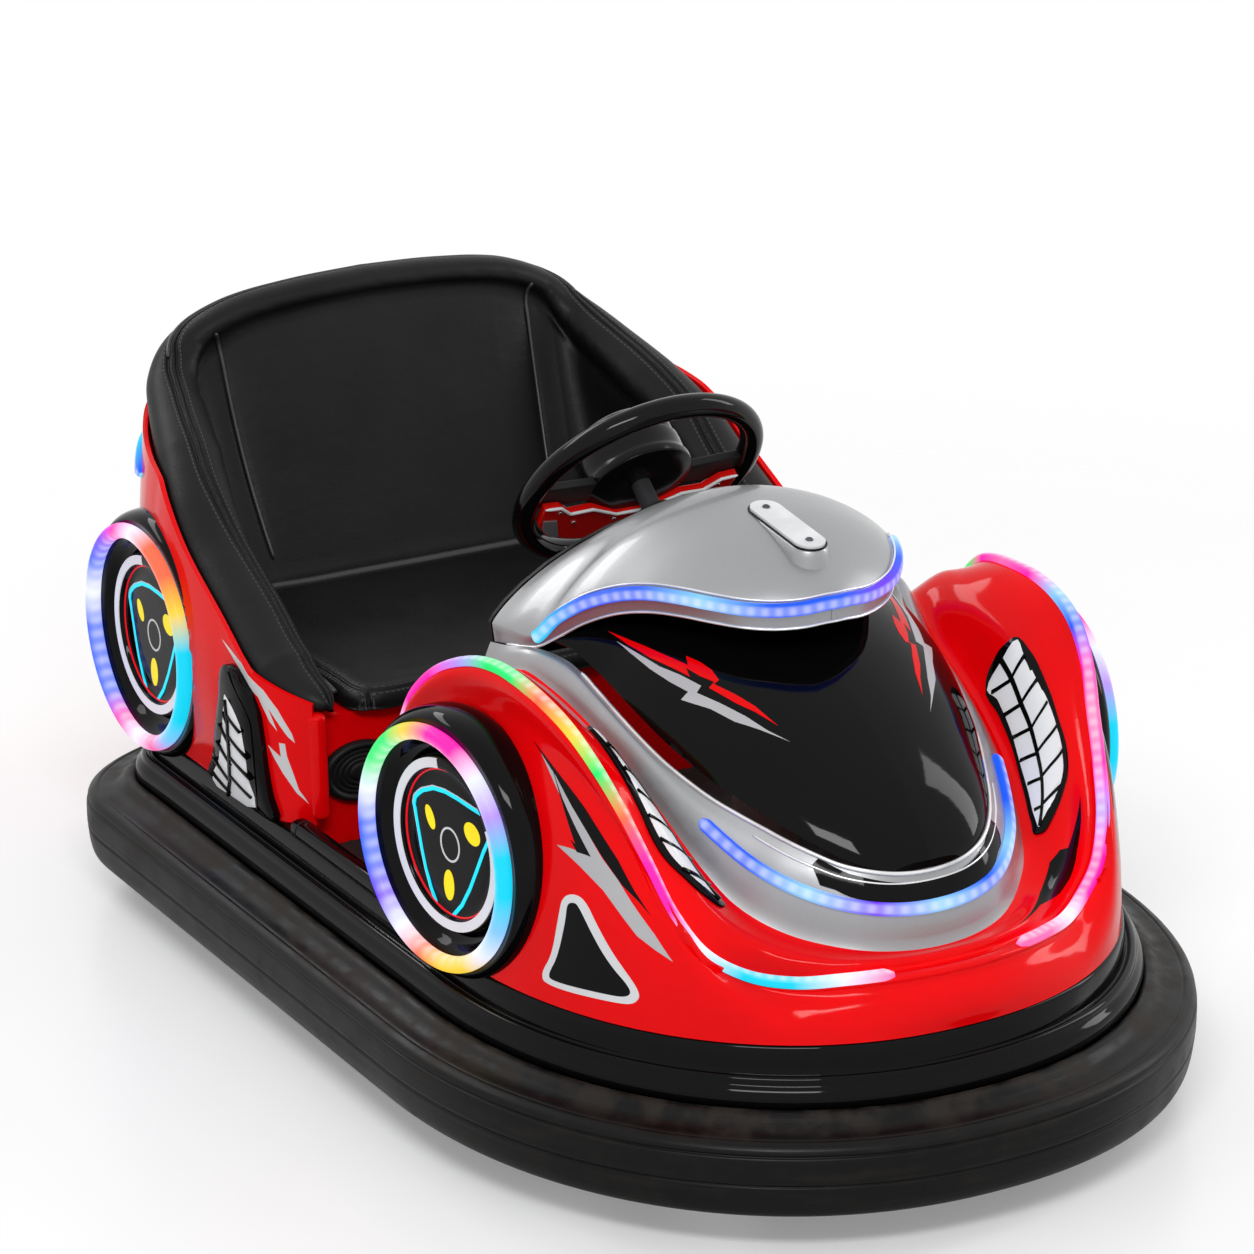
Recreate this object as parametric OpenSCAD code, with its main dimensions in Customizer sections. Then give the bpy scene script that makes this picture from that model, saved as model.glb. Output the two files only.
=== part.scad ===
// Single-seat battery bumper car. Millimetres, up is +Z, the car faces -Y, floor at Z = 0.

/* [Bumper and tray] */
// Half of the overall width, at the widest point of the rubber
half_width = 450; // [380:1:520]
// Where the straight sides end at the front, along Y
side_front_y = -202; // [-260:1:-150]
// Depth of the rounded nose ahead of the straight sides
nose_depth = 509; // [440:1:580]
// Squareness of the rounded nose in plan
nose_power = 2.16; // [2:0.01:2.8]
// Where the straight sides end at the back, along Y
side_rear_y = 493; // [430:1:540]
// Depth of the rounded tail behind the straight sides
tail_depth = 218; // [180:1:260]
// Squareness of the rounded tail in plan
tail_power = 2.47; // [2:0.01:3]
// Height of the bumper's underside above the floor
bumper_low = 45; // [35:1:60]
// Height of the bumper's upper outer edge
bumper_high = 119; // [100:1:135]
// Distance from the bumper's outer edge in to the black tray
tray_inset = 57; // [50:1:70]
// Distance from the bumper's outer edge in to the red shell
shell_inset = 81; // [75:1:100]
// Height of the red shell's lower edge
shell_low = 200; // [190:1:220]
// Thickness of the moulded shells
shell_wall = 6; // [4:0.5:9]

/* [Wheel pods] */
// Outer radius of the light ring
ring_radius = 133; // [115:1:145]
// Radius of the light ring's own round section
ring_tube = 9; // [6:0.5:11]
// How far the pod's black body reaches beyond the light ring
pod_margin = 13; // [8:1:20]
// Distance from the bumper's outer edge in to the plane of the light ring
pod_inset = 63; // [50:1:75]
// Depth of the front pods' body towards the car
pod_depth = 60; // [45:1:80]
// Depth of the rear pods' body, which stand shallower beside the seat
rear_pod_depth = 26; // [25:0.5:28]
// Height of the pod centres
pod_z = 322; // [300:1:340]
// Front pod centre along Y
pod_front_y = -212; // [-240:1:-190]
// Rear pod centre along Y
pod_rear_y = 512; // [480:1:530]
// Toe of the front pods, front edge inwards, in degrees
pod_toe = 6.7; // [0:0.1:10]

/* [Steering] */
// Middle of the steering wheel along Y
wheel_y = 39; // [0:1:80]
// Middle of the steering wheel above the floor
wheel_z = 586; // [560:1:610]
// Radius of the steering rim to the middle of its tube
rim_radius = 135; // [120:1:150]
// Radius of the rim's tube
rim_tube = 13; // [10:0.5:16]
// Tilt of the steering column above the horizontal, in degrees
column_tilt = 39; // [30:1:55]
// Radius of the steering shaft
shaft_radius = 11; // [8:0.5:14]
// Running clearance round pins and shafts, on the radius
fit_gap = 0.05; // [0.02:0.01:0.1]

/* [Running gear] */
// Drive wheel position along Y
drive_y = -330; // [-370:1:-290]
// Drive wheel radius
drive_radius = 100; // [85:1:110]
// Drive wheel width
drive_width = 46; // [35:1:60]
// Rear wheel position along Y
rear_y = 330; // [280:1:380]
// Distance from the bumper's outer edge in to the middle of the rear wheels
rear_inset = 200; // [190:1:220]
// Rear wheel radius
rear_radius = 70; // [60:1:72]
// Rear wheel width
rear_width = 38; // [30:1:45]

/* [Seat] */
// Height of the cushion's top
cushion_top = 345; // [330:1:360]
// Radius of the padded roll round the seat's edge
roll_radius = 28; // [22:1:34]

/* [Hidden] */
$fn = 48;
red = [0.85, 0.03, 0.03];
black = [0.05, 0.05, 0.05];
silver = [0.7, 0.7, 0.72];
glow = [0.8, 0.85, 1];

// Smooth curve through the rows of a table; t counts rows and may fall between them
function row_at(tab, i) = tab[max(0, min(len(tab) - 1, i))];
function curve(tab, t) = let (i = min(floor(t), len(tab) - 2), f = t - i, p0 = row_at(tab, i - 1), p1 = tab[i],
    p2 = tab[i + 1], p3 = row_at(tab, i + 2))
    0.5 * (2 * p1 + (p2 - p0) * f + (2 * p0 - 5 * p1 + 4 * p2 - p3) * f * f + (3 * p1 - p0 - 3 * p2 + p3) * f * f * f);
function mirrored(p) = [-p[0], p[1], p[2]];
function both_sides(rows) = concat(rows, [for (i = [len(rows) - 2:-1:0]) [for (p = rows[i]) mirrored(p)]]);
function flip(g) = [for (r = g) [for (k = [len(r) - 1:-1:0]) r[k]]];
function flat(g) = [for (r = g) for (p = r) p];
function unit(v) = v / max(norm(v), 0.000001);
function facing(g, i, j) = unit(cross(g[min(len(g) - 1, i + 1)][j] - g[max(0, i - 1)][j],
    g[i][min(len(g[0]) - 1, j + 1)] - g[i][max(0, j - 1)]));
function raised(g, d) = [for (i = [0:len(g) - 1]) [for (j = [0:len(g[0]) - 1]) g[i][j] + d * facing(g, i, j)]];
function columns(g, a, b) = [for (r = g) [for (j = [a:b]) r[j]]];

// Closed solid between two grids of the same size; the first is the outer side
module between(a, b) {
    n = len(a); m = len(a[0]); k = n * m;
    quads = concat(
        [for (i = [0:n - 2]) for (j = [0:m - 2]) [i * m + j, (i + 1) * m + j, (i + 1) * m + j + 1, i * m + j + 1]],
        [for (i = [0:n - 2]) for (j = [0:m - 2]) [k + i * m + j, k + i * m + j + 1, k + (i + 1) * m + j + 1, k + (i + 1) * m + j]],
        [for (i = [0:n - 2]) [i * m, k + i * m, k + (i + 1) * m, (i + 1) * m]],
        [for (i = [0:n - 2]) [i * m + m - 1, (i + 1) * m + m - 1, k + (i + 1) * m + m - 1, k + i * m + m - 1]],
        [for (j = [0:m - 2]) [j, j + 1, k + j + 1, k + j]],
        [for (j = [0:m - 2]) [(n - 1) * m + j, k + (n - 1) * m + j, k + (n - 1) * m + j + 1, (n - 1) * m + j + 1]]);
    polyhedron(concat(flat(a), flat(b)), [for (q = quads) for (h = [[q[2], q[1], q[0]], [q[3], q[2], q[0]]]) h]);
}
// Wall or patch on a grid, from height low to height high above it along its outward side
module slab(g, low, high) { between(raised(g, high), raised(g, low)); }

// Closed loop of profile points carried round a closed path of frames
module loop_sweep(rows) {
    n = len(rows); m = len(rows[0]);
    polyhedron(flat(rows), [for (i = [0:n - 1]) for (j = [0:m - 1]) let (a = i * m + j, b = ((i + 1) % n) * m + j,
        c = ((i + 1) % n) * m + (j + 1) % m, d = i * m + (j + 1) % m) for (h = [[a, b, c], [a, c, d]]) h]);
}
// Open path with the same closed profile, capped at both ends
module open_sweep(rows) {
    n = len(rows); m = len(rows[0]);
    polyhedron(flat(rows), concat([for (i = [0:n - 2]) for (j = [0:m - 1]) let (a = i * m + j, b = (i + 1) * m + j,
        c = (i + 1) * m + (j + 1) % m, d = i * m + (j + 1) % m) for (h = [[a, c, b], [a, d, c]]) h],
        [for (j = [1:m - 2]) [0, j + 1, j]], [for (j = [1:m - 2]) [(n - 1) * m, (n - 1) * m + j, (n - 1) * m + j + 1]]));
}

frame_top = 152;
// The tables of the shells are drawn for a half width of 450, and their widths follow the bumper's
wide = half_width / 450;
rear_x = half_width - rear_inset;
function widen(p) = [p[0] * wide, p[1], p[2]];
pod_x = half_width - pod_inset;
// Plan of the car at a distance inside the bumper's edge; a runs 0 to 90 from side to nose or tail
function nose_at(inset, a) = [(half_width - inset) * pow(cos(a), 2 / nose_power),
    side_front_y - (nose_depth - inset) * pow(sin(a), 2 / nose_power)];
function tail_at(inset, a) = [(half_width - inset) * pow(cos(a), 2 / tail_power),
    side_rear_y + (tail_depth - inset) * pow(sin(a), 2 / tail_power)];
plan_steps = 14;
function plan_half(inset) = concat([for (k = [plan_steps:-1:0]) nose_at(inset, 90 * k / plan_steps)],
    [for (k = [0:plan_steps]) tail_at(inset, 90 * k / plan_steps)]);
function plan(inset) = let (h = plan_half(inset)) concat(h, [for (k = [len(h) - 2:-1:1]) [-h[k][0], h[k][1]]]);
module plan_ring(profile) {
    cols = [for (p = profile) [for (q = plan(p[0])) [q[0], q[1], p[1]]]];
    loop_sweep([for (i = [0:len(cols[0]) - 1]) [for (j = [len(profile) - 1:-1:0]) cols[j][i]]]);
}

// Bumper section as inset from the outer edge and height
bumper_section = [[12, bumper_low], [3, bumper_low + 12], [1, bumper_low + 40], [5, bumper_low + 45], [0, bumper_low + 50],
    [0, bumper_high - 4], [4, bumper_high + 3], [18, bumper_high + 9], [38, bumper_high + 16], [tray_inset - 3, bumper_high + 23],
    [tray_inset + 12, bumper_high + 16], [tray_inset + 12, bumper_low + 8], [tray_inset, bumper_low]];
module bumper_tyre() color(black) plan_ring(bumper_section);

// Tray section: step up from the rubber, a rounded bead, a recess, the ledge that carries the red shells
ledge = shell_low - 0.3;
tray_section = [[tray_inset - 2, bumper_high + 24], [tray_inset + 2, ledge - 36], [tray_inset + 8, ledge - 30],
    [tray_inset + 15, ledge - 32], [tray_inset + 19, ledge - 14], [tray_inset + 22, ledge],
    [tray_inset + 44, ledge], [tray_inset + 44, frame_top + 0.3], [tray_inset + 38, frame_top + 0.3], [tray_inset + 38, ledge - 6],
    [tray_inset + 28, ledge - 6], [tray_inset + 24, ledge - 40], [tray_inset + 14, frame_top + 1.5], [tray_inset + 4, bumper_high + 24.4]];
module base_tray() color(black) difference() { plan_ring(tray_section); pod_space(); }

// Front shell, one row a station from the cockpit edge to the middle of the nose
//   crest x, y, z    edge of the red x, y, z    edge of the panel x, y, z    lower edge: plan angle, or y on the straight
front_drawn = [
    [[340, -54, 392], [262, -54, 405], [238, -60, 472], [0, -54]],
    [[342, -92, 446], [252, -95, 446], [236, -96, 479], [0, -92]],
    [[334, -132, 482], [242, -135, 466], [224, -132, 486], [0, -132]],
    [[322, -178, 502], [230, -178, 456], [206, -172, 480], [0, -178]],
    [[317, -222, 509], [219, -218, 439], [196, -216, 459], [8, 0]],
    [[317, -266, 509], [215, -254, 426], [193, -253, 445], [16, 0]],
    [[315, -310, 502], [211, -292, 411], [189, -290, 431], [23, 0]],
    [[310, -350, 487], [207, -330, 392], [182, -327, 416], [30, 0]],
    [[300, -390, 455], [202, -366, 371], [172, -362, 403], [37, 0]],
    [[288, -420, 416], [196, -397, 349], [162, -392, 393], [43, 0]],
    [[276, -452, 369], [188, -427, 327], [149, -420, 384], [49, 0]],
    [[262, -482, 319], [177, -455, 307], [136, -446, 376], [55, 0]],
    [[238, -507, 279], [160, -485, 292], [121, -474, 367], [61, 0]],
    [[205, -528, 258], [137, -511, 281], [105, -498, 359], [67, 0]],
    [[166, -556, 252], [111, -536, 275], [87, -518, 351], [73, 0]],
    [[122, -582, 256], [83, -556, 271], [66, -534, 346], [79, 0]],
    [[75, -602, 260], [50, -569, 268], [41, -545, 342], [84, 0]],
    [[0, -613, 262], [0, -575, 266], [0, -550, 340], [90, 0]]];
front_table = [for (r = front_drawn) [widen(r[0]), widen(r[1]), widen(r[2]), r[3]]];
function lower_edge(r) = let (p = r[3][0] > 0 ? nose_at(shell_inset, r[3][0]) : [half_width - shell_inset, r[3][1]]) [p[0], p[1], shell_low];
function outward(r) = unit(lower_edge(r) - [r[1][0], r[1][1], shell_low]);
function side_point(r, f, bulge) = let (a = lower_edge(r), b = r[0]) a + (b - a) * f + outward(r) * bulge * sin(180 * f);
function panel_point(p, f) = let (x = p[0] * (1 - f), rise = sqrt(1 - pow(1 - f, 2)))
    [x, p[1] - 6 * f, p[2] + (max(crown_of(p[1]), p[2]) - p[2]) * rise];
slope_bulge = 0.08;
// One row runs from inside the black panel's edge over the silver surround and the crest down to the lower edge
function front_row(r) = [panel_point(r[2], 0.12), r[2], (r[1] + r[2] * 2) / 3 + [0, -3, 5], (r[1] * 2 + r[2]) / 3 + [0, -3, 4], r[1],
    (r[0] + r[1]) / 2 + [0, 0, slope_bulge * norm(r[0] - r[1])], r[0] - outward(r) * 16 - [0, 0, 3], r[0], r[0] + outward(r) * 6 - [0, 0, 3],
    side_point(r, 0.88, 8), side_point(r, 0.6, 10), side_point(r, 0.3, 10), lower_edge(r)];
front_grid = both_sides([for (r = front_table) front_row(r)]);
// The wall's inner side keeps the height of the lower edge, so that the shell stands flat on the tray
front_back = [for (r = raised(front_grid, -shell_wall)) [for (j = [0:12]) j < 12 ? r[j] : [r[j][0], r[j][1], shell_low]]];
module front_body() color(red) difference() {
    between(columns(front_grid, 4, 12), columns(front_back, 4, 12));
    pod_space();
}

// Silver surround between the red shell and the black panel, with a narrow seam on both sides
seam = 0.02;
function seamed(g) = [for (r = g) [r[0] + (r[1] - r[0]) * seam, r[1], r[2], r[3] + (r[2] - r[3]) * seam]];
module nose_surround() color(silver) between(seamed(columns(front_grid, 1, 4)), seamed(columns(front_back, 1, 4)));

// Black bonnet panel: rises from the surround's inner edge to a crown on the middle line
function crown_of(y) = lookup(y, [[-551, 342], [-540, 358], [-500, 400], [-440, 445], [-380, 482], [-320, 512], [-250, 535], [-118, 545]]);
function across(r) = concat(r, [for (k = [len(r) - 2:-1:0]) mirrored(r[k])]);
panel_first = 3; panel_last = 16;
panel_grid = [for (k = [panel_first:panel_last]) across([for (f = [0.02, 0.12, 0.3, 0.5, 0.7, 0.86, 1]) panel_point(front_table[k][2], f)])];
panel_raised = raised(panel_grid, shell_wall);
function edge_back(k) = front_back[k][1] + (panel_grid[k - panel_first][0] - front_grid[k][1]);
panel_back = [for (k = [panel_first:panel_last]) let (r = panel_raised[k - panel_first], n = len(r) - 1)
    [for (j = [0:n]) j == 0 ? edge_back(k) : j == n ? mirrored(edge_back(k)) : r[j]]];
module bonnet_panel() color(black) between(flip(panel_grid), flip(panel_back));

// Cowl sections along Y
//   y    half width  lower edge z  light line z  crown z
cowl_drawn = [
    [-64, 238, 473, 494, 588],
    [-96, 236, 480, 497, 611],
    [-132, 225, 487, 499, 625],
    [-152, 211, 501, 524, 629],
    [-176, 191, 521, 545, 631],
    [-206, 169, 537, 560, 630],
    [-240, 150, 546, 569, 626],
    [-274, 132, 549, 572, 618],
    [-304, 112, 548, 571, 608],
    [-330, 88, 546, 569, 597],
    [-348, 60, 545, 568, 588],
    [-360, 34, 547, 570, 581],
    [-366, 12, 550, 573, 577]];
cowl_table = [for (r = cowl_drawn) [r[0], r[1] * wide, r[2], r[3], r[4]]];
cowl_power = 0.8;
function cowl_height(r, x) = r[3] + (r[4] - r[3]) * pow(max(0, 1 - pow(x / r[1], 2)), cowl_power);
function cowl_row(r) = concat([[3 - r[1], r[0], r[2]]], [for (k = [-8:8]) let (x = r[1] * sin(90 * k / 8)) [x, r[0], cowl_height(r, x)]], [[r[1] - 3, r[0], r[2]]]);
cowl_grid = [for (r = cowl_table) cowl_row(r)];
module cowl() color(silver) difference() {
    slab(cowl_grid, -shell_wall, 0);
    at_plate() cylinder_pair(2.5, 30);
}
// Black underside of the cowl, arched clear of the bonnet panel
chin_first = 4;
function chin_height(r, x) = let (low = r[2] + 3, mid = max(low + 3, crown_of(r[0]) + 6)) low + (mid - low) * (1 - pow(x / r[1], 2));
function chin_half(k) = let (d = cowl_table[k + 1] - cowl_table[k - 1]) cowl_table[k][1] - 5 - 8 * norm([d[0], d[1]]) / abs(d[0]);
module cowl_chin() color(black) slab([for (k = [chin_first:len(cowl_table) - 3]) let (r = cowl_table[k])
    [for (f = [-1:0.25:1]) let (x = f * chin_half(k)) [x, r[0], chin_height(r, x)]]], 0, 3);
// Bulkhead behind the front shells, with the opening for the driver's legs
bulkhead_y = -60;
leg_half = 232 * wide;
bulkhead_edge = concat([for (j = [12:-1:1]) raised(front_grid, -shell_wall - 0.6)[0][j]], [for (k = [len(cowl_grid[0]) - 1:-1:len(cowl_grid[0]) - 10]) cowl_grid[0][k]]);
module dash_panel() color(black) difference() {
    translate([0, bulkhead_y + 5, 0]) rotate([90, 0, 0]) linear_extrude(5)
        polygon(concat([for (p = bulkhead_edge) [p[0], p[2]]], [for (k = [len(bulkhead_edge) - 1:-1:0]) [-bulkhead_edge[k][0], bulkhead_edge[k][2]]]));
    translate([0, bulkhead_y + 6, 0]) rotate([90, 0, 0]) linear_extrude(7)
        polygon([[-leg_half, 190], [leg_half, 190], [leg_half, 380], [leg_half - 62, 448], [62 - leg_half, 448], [-leg_half, 380]]);
    on_column() translate([0, 0, -260]) cylinder(r = 32, h = 260);
}
// Blank plate on the cowl with its two fixing holes
plate_length = 120;
plate_holes = 86;
module at_plate() translate([0, -269, 622.5]) rotate([7, 0, 0]) children();
module cylinder_pair(r, h) for (s = [-1, 1]) translate([0, s * plate_holes / 2, -h / 2]) cylinder(r = r, h = h, $fn = 24);
module cowl_plate() color([0.95, 0.95, 0.95]) at_plate() difference() {
    union() {
        translate([-17, -plate_length / 2 + 17, 0]) cube([34, plate_length - 34, 4]);
        for (s = [-1, 1]) translate([0, s * (plate_length / 2 - 17), 0]) cylinder(r = 17, h = 4);
    }
    cylinder_pair(2.5, 20);
}

// Light strips: a rounded ribbon on a surface, from its points and the surface's outward directions
strip_half = 7;
strip_height = 6.5;
strip_lift = 1.3;
strip_section = [[1, 0], [0.85, 0.6], [0.4, 1], [-0.4, 1], [-0.85, 0.6], [-1, 0]];
module ribbon(points, normals) {
    n = len(points);
    open_sweep([for (i = [0:n - 1]) let (d = unit(points[min(n - 1, i + 1)] - points[max(0, i - 1)]), side = unit(cross(d, normals[i])), up = cross(side, d))
        [for (q = strip_section) points[i] + side * q[0] * strip_half + up * (strip_lift + q[1] * strip_height)]]);
}
module both() { children(); mirror([1, 0, 0]) children(); }
front_rows = [for (r = front_table) front_row(r)];
crest_column = 7;
fender_last = 16;
module fender_lights() color(glow) both() ribbon([for (i = [0:fender_last]) front_grid[i][crest_column]], [for (i = [0:fender_last]) facing(front_grid, i, crest_column)]);
cowl_light_first = 2;
cowl_half = [for (k = [cowl_light_first:len(cowl_table) - 1]) let (r = cowl_table[k]) [r[1], r[0], r[3] - 2]];
cowl_line = concat(cowl_half, [for (k = [len(cowl_half) - 1:-1:0]) mirrored(cowl_half[k])]);
module cowl_light() color(glow) ribbon(cowl_line, [for (i = [0:len(cowl_line) - 1])
    unit(cross([0, 0, 1], cowl_line[min(len(cowl_line) - 1, i + 1)] - cowl_line[max(0, i - 1)]))]);
surround_light_first = 9;
surround_rows = [for (k = [surround_light_first:2 * (len(front_table) - 1) - surround_light_first]) front_grid[k]];
module surround_light() color(glow) ribbon([for (r = surround_rows) (r[2] + r[3]) / 2], [for (k = [0:len(surround_rows) - 1])
    unit(facing(front_grid, k + surround_light_first, 2) + facing(front_grid, k + surround_light_first, 3))]);
// Leaf-shaped headlights on the inner slope of each fender
//   station, middle across the slope, half width across the slope
headlight_table = [[5.6, 0.42, 0.03], [6.1, 0.44, 0.17], [6.8, 0.47, 0.24], [7.6, 0.5, 0.26], [8.4, 0.53, 0.22], [9.1, 0.56, 0.14], [9.6, 0.58, 0.03]];
function slope_at(t, f) = let (r = curve(front_rows, t)) f < 0.5 ? r[6] + (r[5] - r[6]) * f * 2 : r[5] + (r[4] - r[5]) * (f * 2 - 1);
module headlights() color(black) both()
    slab([for (h = headlight_table) [for (j = [2:-1:-2]) slope_at(h[0], h[1] + h[2] * j / 2)]], 1.5, 5);

// Padded roll, from the front of the seat side to the middle of the back
//   x    y    z    share of the full section
roll_drawn = [[316, 168, 336, 0.3], [333, 240, 356, 1], [333, 324, 400, 1], [330, 408, 442, 1], [323, 473, 484, 1], [306, 536, 518, 1],
    [288, 602, 548, 0.88], [270, 654, 575, 0.76], [238, 680, 608, 0.66], [180, 683, 634, 0.62], [96, 683, 646, 0.6], [0, 683, 650, 0.6]];
roll_table = [for (p = roll_drawn) widen(p)];
roll_share = [for (p = roll_drawn) p[3]];
roll_half_width = 39;
roll_path = [for (k = [0:22]) curve(roll_table, k / 2)];
roll_all = concat(roll_path, [for (k = [21:-1:0]) mirrored(roll_path[k])]);
// Share of the full section at half rows; the front end swells quickly to its full size
share_table = concat([[0, roll_share[0]], [1, 0.66]], [for (i = [1:len(roll_share) - 1]) [2 * i, roll_share[i]]]);
function share_at(k) = lookup(k, share_table);
function roll_size(i) = share_at(min(i, len(roll_all) - 1 - i));
module seat_roll() color(black) {
    n = len(roll_all);
    open_sweep([for (i = [0:n - 1]) let (d = unit(roll_all[min(n - 1, i + 1)] - roll_all[max(0, i - 1)]), u = unit(cross(d, [0, 0, 1])), w = cross(u, d))
        [for (a = [0:30:330]) roll_all[i] + roll_size(i) * (roll_half_width * cos(a) * u + roll_radius * sin(a) * w)]]);
}
// Lower edge of the rear shell under the same stations
//   x, y of the lower edge
tail_side = half_width - shell_inset;
tail_low = [[tail_side - 34, 168], [tail_side - 5, 200], [tail_side, 320], [tail_side, 405], [tail_side, 458]];
function rear_low(k) = let (t = k / 2) t <= 4 ? curve(tail_low, t) : tail_at(shell_inset, (t - 4) * 90 / 7);
function roll_side(k) = let (c = curve(roll_table, k / 2), a = rear_low(k)) unit([max(a[0], 1) * 1.2 - c[0] * 0.7, k < 9 ? 0 : (a[1] - 430) * (k - 8) / 6, 0]);
// The shell's upper edge lies beside the roll at this angle round its section, and slips under the roll at the back
rear_clear = shell_wall + 3.5;
rear_bulge = 12;
front_swell = 0.12;
function head_angle(k) = lookup(k, [[9, 20], [15, -58]]);
function rear_row(k) = let (a = [rear_low(k)[0], rear_low(k)[1], shell_low], c = curve(roll_table, k / 2), o = roll_side(k), s = share_at(k) + front_swell * max(0, 1 - abs(k - 1) / 2), h = head_angle(k),
    b = c + o * (s * roll_half_width + rear_clear) * cos(h) + [0, 0, (s * roll_radius + rear_clear) * sin(h)])
    [for (f = [0, 0.25, 0.5, 0.75, 1]) a + (b - a) * f + o * rear_bulge * min(1, k / 4) * sin(180 * f)];
rear_grid = both_sides([for (k = [0:22]) rear_row(k)]);
module rear_body() color(red) difference() {
    slab(rear_grid, -shell_wall, 0);
    pod_space();
}
rear_light_first = 11;
rear_light_last = 17;
rear_light_rise = 0.52;
// Seat liner from under the roll down to the cushion
liner_wall = 20;
box_half = half_width - 124;
box_top = cushion_top - 29;
box_front = 192;
box_back = 498;
cushion_side = box_half - 44;
function liner_low(k) = let (c = curve(roll_table, k / 2)) [min(cushion_side + 2, c[0] * 0.87), max(190, min(c[1] - 55, 548)), cushion_top - 8];
function liner_row(k) = let (c = curve(roll_table, k / 2), o = roll_side(k), top = c + share_at(k) * (-o * (roll_half_width - 6) + [0, 0, -roll_radius - 12]), low = liner_low(k))
    [for (f = [0, 0.35, 0.7, 1]) top + (low - top) * f + o * 10 * sin(180 * f)];
liner_first = 3;
liner_grid = both_sides([for (k = [liner_first:22]) liner_row(k)]);
module seat_back() color(black) slab(liner_grid, -liner_wall, 0);
cushion_edge = [[cushion_side, 172], [cushion_side, 385], [cushion_side - 20, 470], [cushion_side - 42, 536]];
module seat_cushion() color(black) translate([0, 0, box_top + 0.3]) linear_extrude(cushion_top - box_top - 0.3)
    polygon(concat(cushion_edge, [for (k = [3:-1:0]) [-cushion_edge[k][0], cushion_edge[k][1]]]));
module seat_box() color(red) difference() {
    translate([-box_half, box_front, frame_top + 0.3]) cube([2 * box_half, box_back - box_front, box_top - frame_top - 0.3]);
    translate([-box_half + shell_wall, box_front + shell_wall, 140]) cube([2 * (box_half - shell_wall), box_back - box_front - 2 * shell_wall, box_top - shell_wall - 140]);
}
module speaker_covers() color(black) for (s = [-1, 1]) translate([s * (box_half - 56), box_front - 0.3, 246]) rotate([90, 0, 0]) {
    linear_extrude(8) scale([1.37, 1]) circle(r = 35);
    translate([0, 0, 8]) linear_extrude(4) scale([1.37, 1]) circle(r = 27);
}
module rear_lights() color(glow) both() ribbon([for (k = [rear_light_last:-1:rear_light_first]) rear_grid[k][3] * (1 - rear_light_rise) + rear_grid[k][4] * rear_light_rise + facing(rear_grid, k, 3)],
    [for (k = [rear_light_last:-1:rear_light_first]) facing(rear_grid, k, 3)]);
// Black side fins and their lenses, laid on the rear shell
//   height fraction, first station, last station
fin_table = [[0.02, 1.6, 3.9], [0.23, 1.9, 3.9], [0.46, 2.3, 3.8], [0.65, 2.75, 3.55], [0.74, 3.0, 3.3]];
function rear_at(k, f) = let (r = rear_row(k), t = f * 4, i = min(3, floor(t))) r[i] + (r[i + 1] - r[i]) * (t - i);
function fin_grid(grow) = [for (h = fin_table) [for (g = [0:0.25:1]) let (m = (h[1] + h[2]) / 2, half = max(0.02, (h[2] - h[1]) / 2 - grow)) rear_at(m + half * (1 - 2 * g), min(0.94, max(0.03, h[0] + (grow > 0 ? 0.04 - 0.08 * h[0] : 0))))]];
module side_fins() color(black) both() slab(fin_grid(0), 2.5, 14);
module fin_lenses() color([0.95, 0.95, 0.95]) both() slab(fin_grid(0.35), 15, 18);

// Decorative wheel pods; each stands on its own axis pointing away from the car
//   Y of the centre, toe in degrees, depth of the body
pod_table = [[pod_front_y, pod_toe, pod_depth], [pod_rear_y, 0, rear_pod_depth]];
module at_pod(p) for (s = [0, 1]) mirror([s, 0, 0]) translate([pod_x, p[0], pod_z]) rotate([0, 0, -p[1]]) rotate([0, 90, 0]) children();
pod_radius = ring_radius + pod_margin;
module pod_space() for (p = pod_table) at_pod(p) translate([0, 0, -p[2] - 0.3]) cylinder(r = pod_radius + 0.3, h = p[2] + 60, $fn = 64);
module pod_tyres() color(black) for (p = pod_table) at_pod(p) rotate_extrude($fn = 64) polygon([[0, -p[2]], [pod_radius - 12, -p[2]], [pod_radius - 3, -p[2] + 4],
    [pod_radius, -p[2] + 8], [pod_radius - 3, -14], [pod_radius - 10, -6], [ring_radius - ring_tube - 3, -8], [106, -21], [97, -23], [97, -24.5], [0, -24.5]]);
module pod_rings() color(glow) for (p = pod_table) at_pod(p) rotate_extrude($fn = 64) translate([ring_radius - ring_tube, 1.8]) circle(r = ring_tube, $fn = 20);
// Face disc with a raised pale ring
module pod_faces() color(black) for (p = pod_table) at_pod(p) rotate_extrude($fn = 64) polygon([[0, -24.2], [96.7, -24.2], [96, -16], [94, -12], [82, -12], [80, -19], [0, -19]]);

// Steering column frame: origin in the middle of the steering wheel, +Z towards the driver
module on_column() translate([0, wheel_y, wheel_z]) rotate([column_tilt - 90, 0, 0]) children();
module steering_rim() color(black) on_column() rotate_extrude($fn = 72) translate([rim_radius, 0]) circle(r = rim_tube, $fn = 24);
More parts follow.
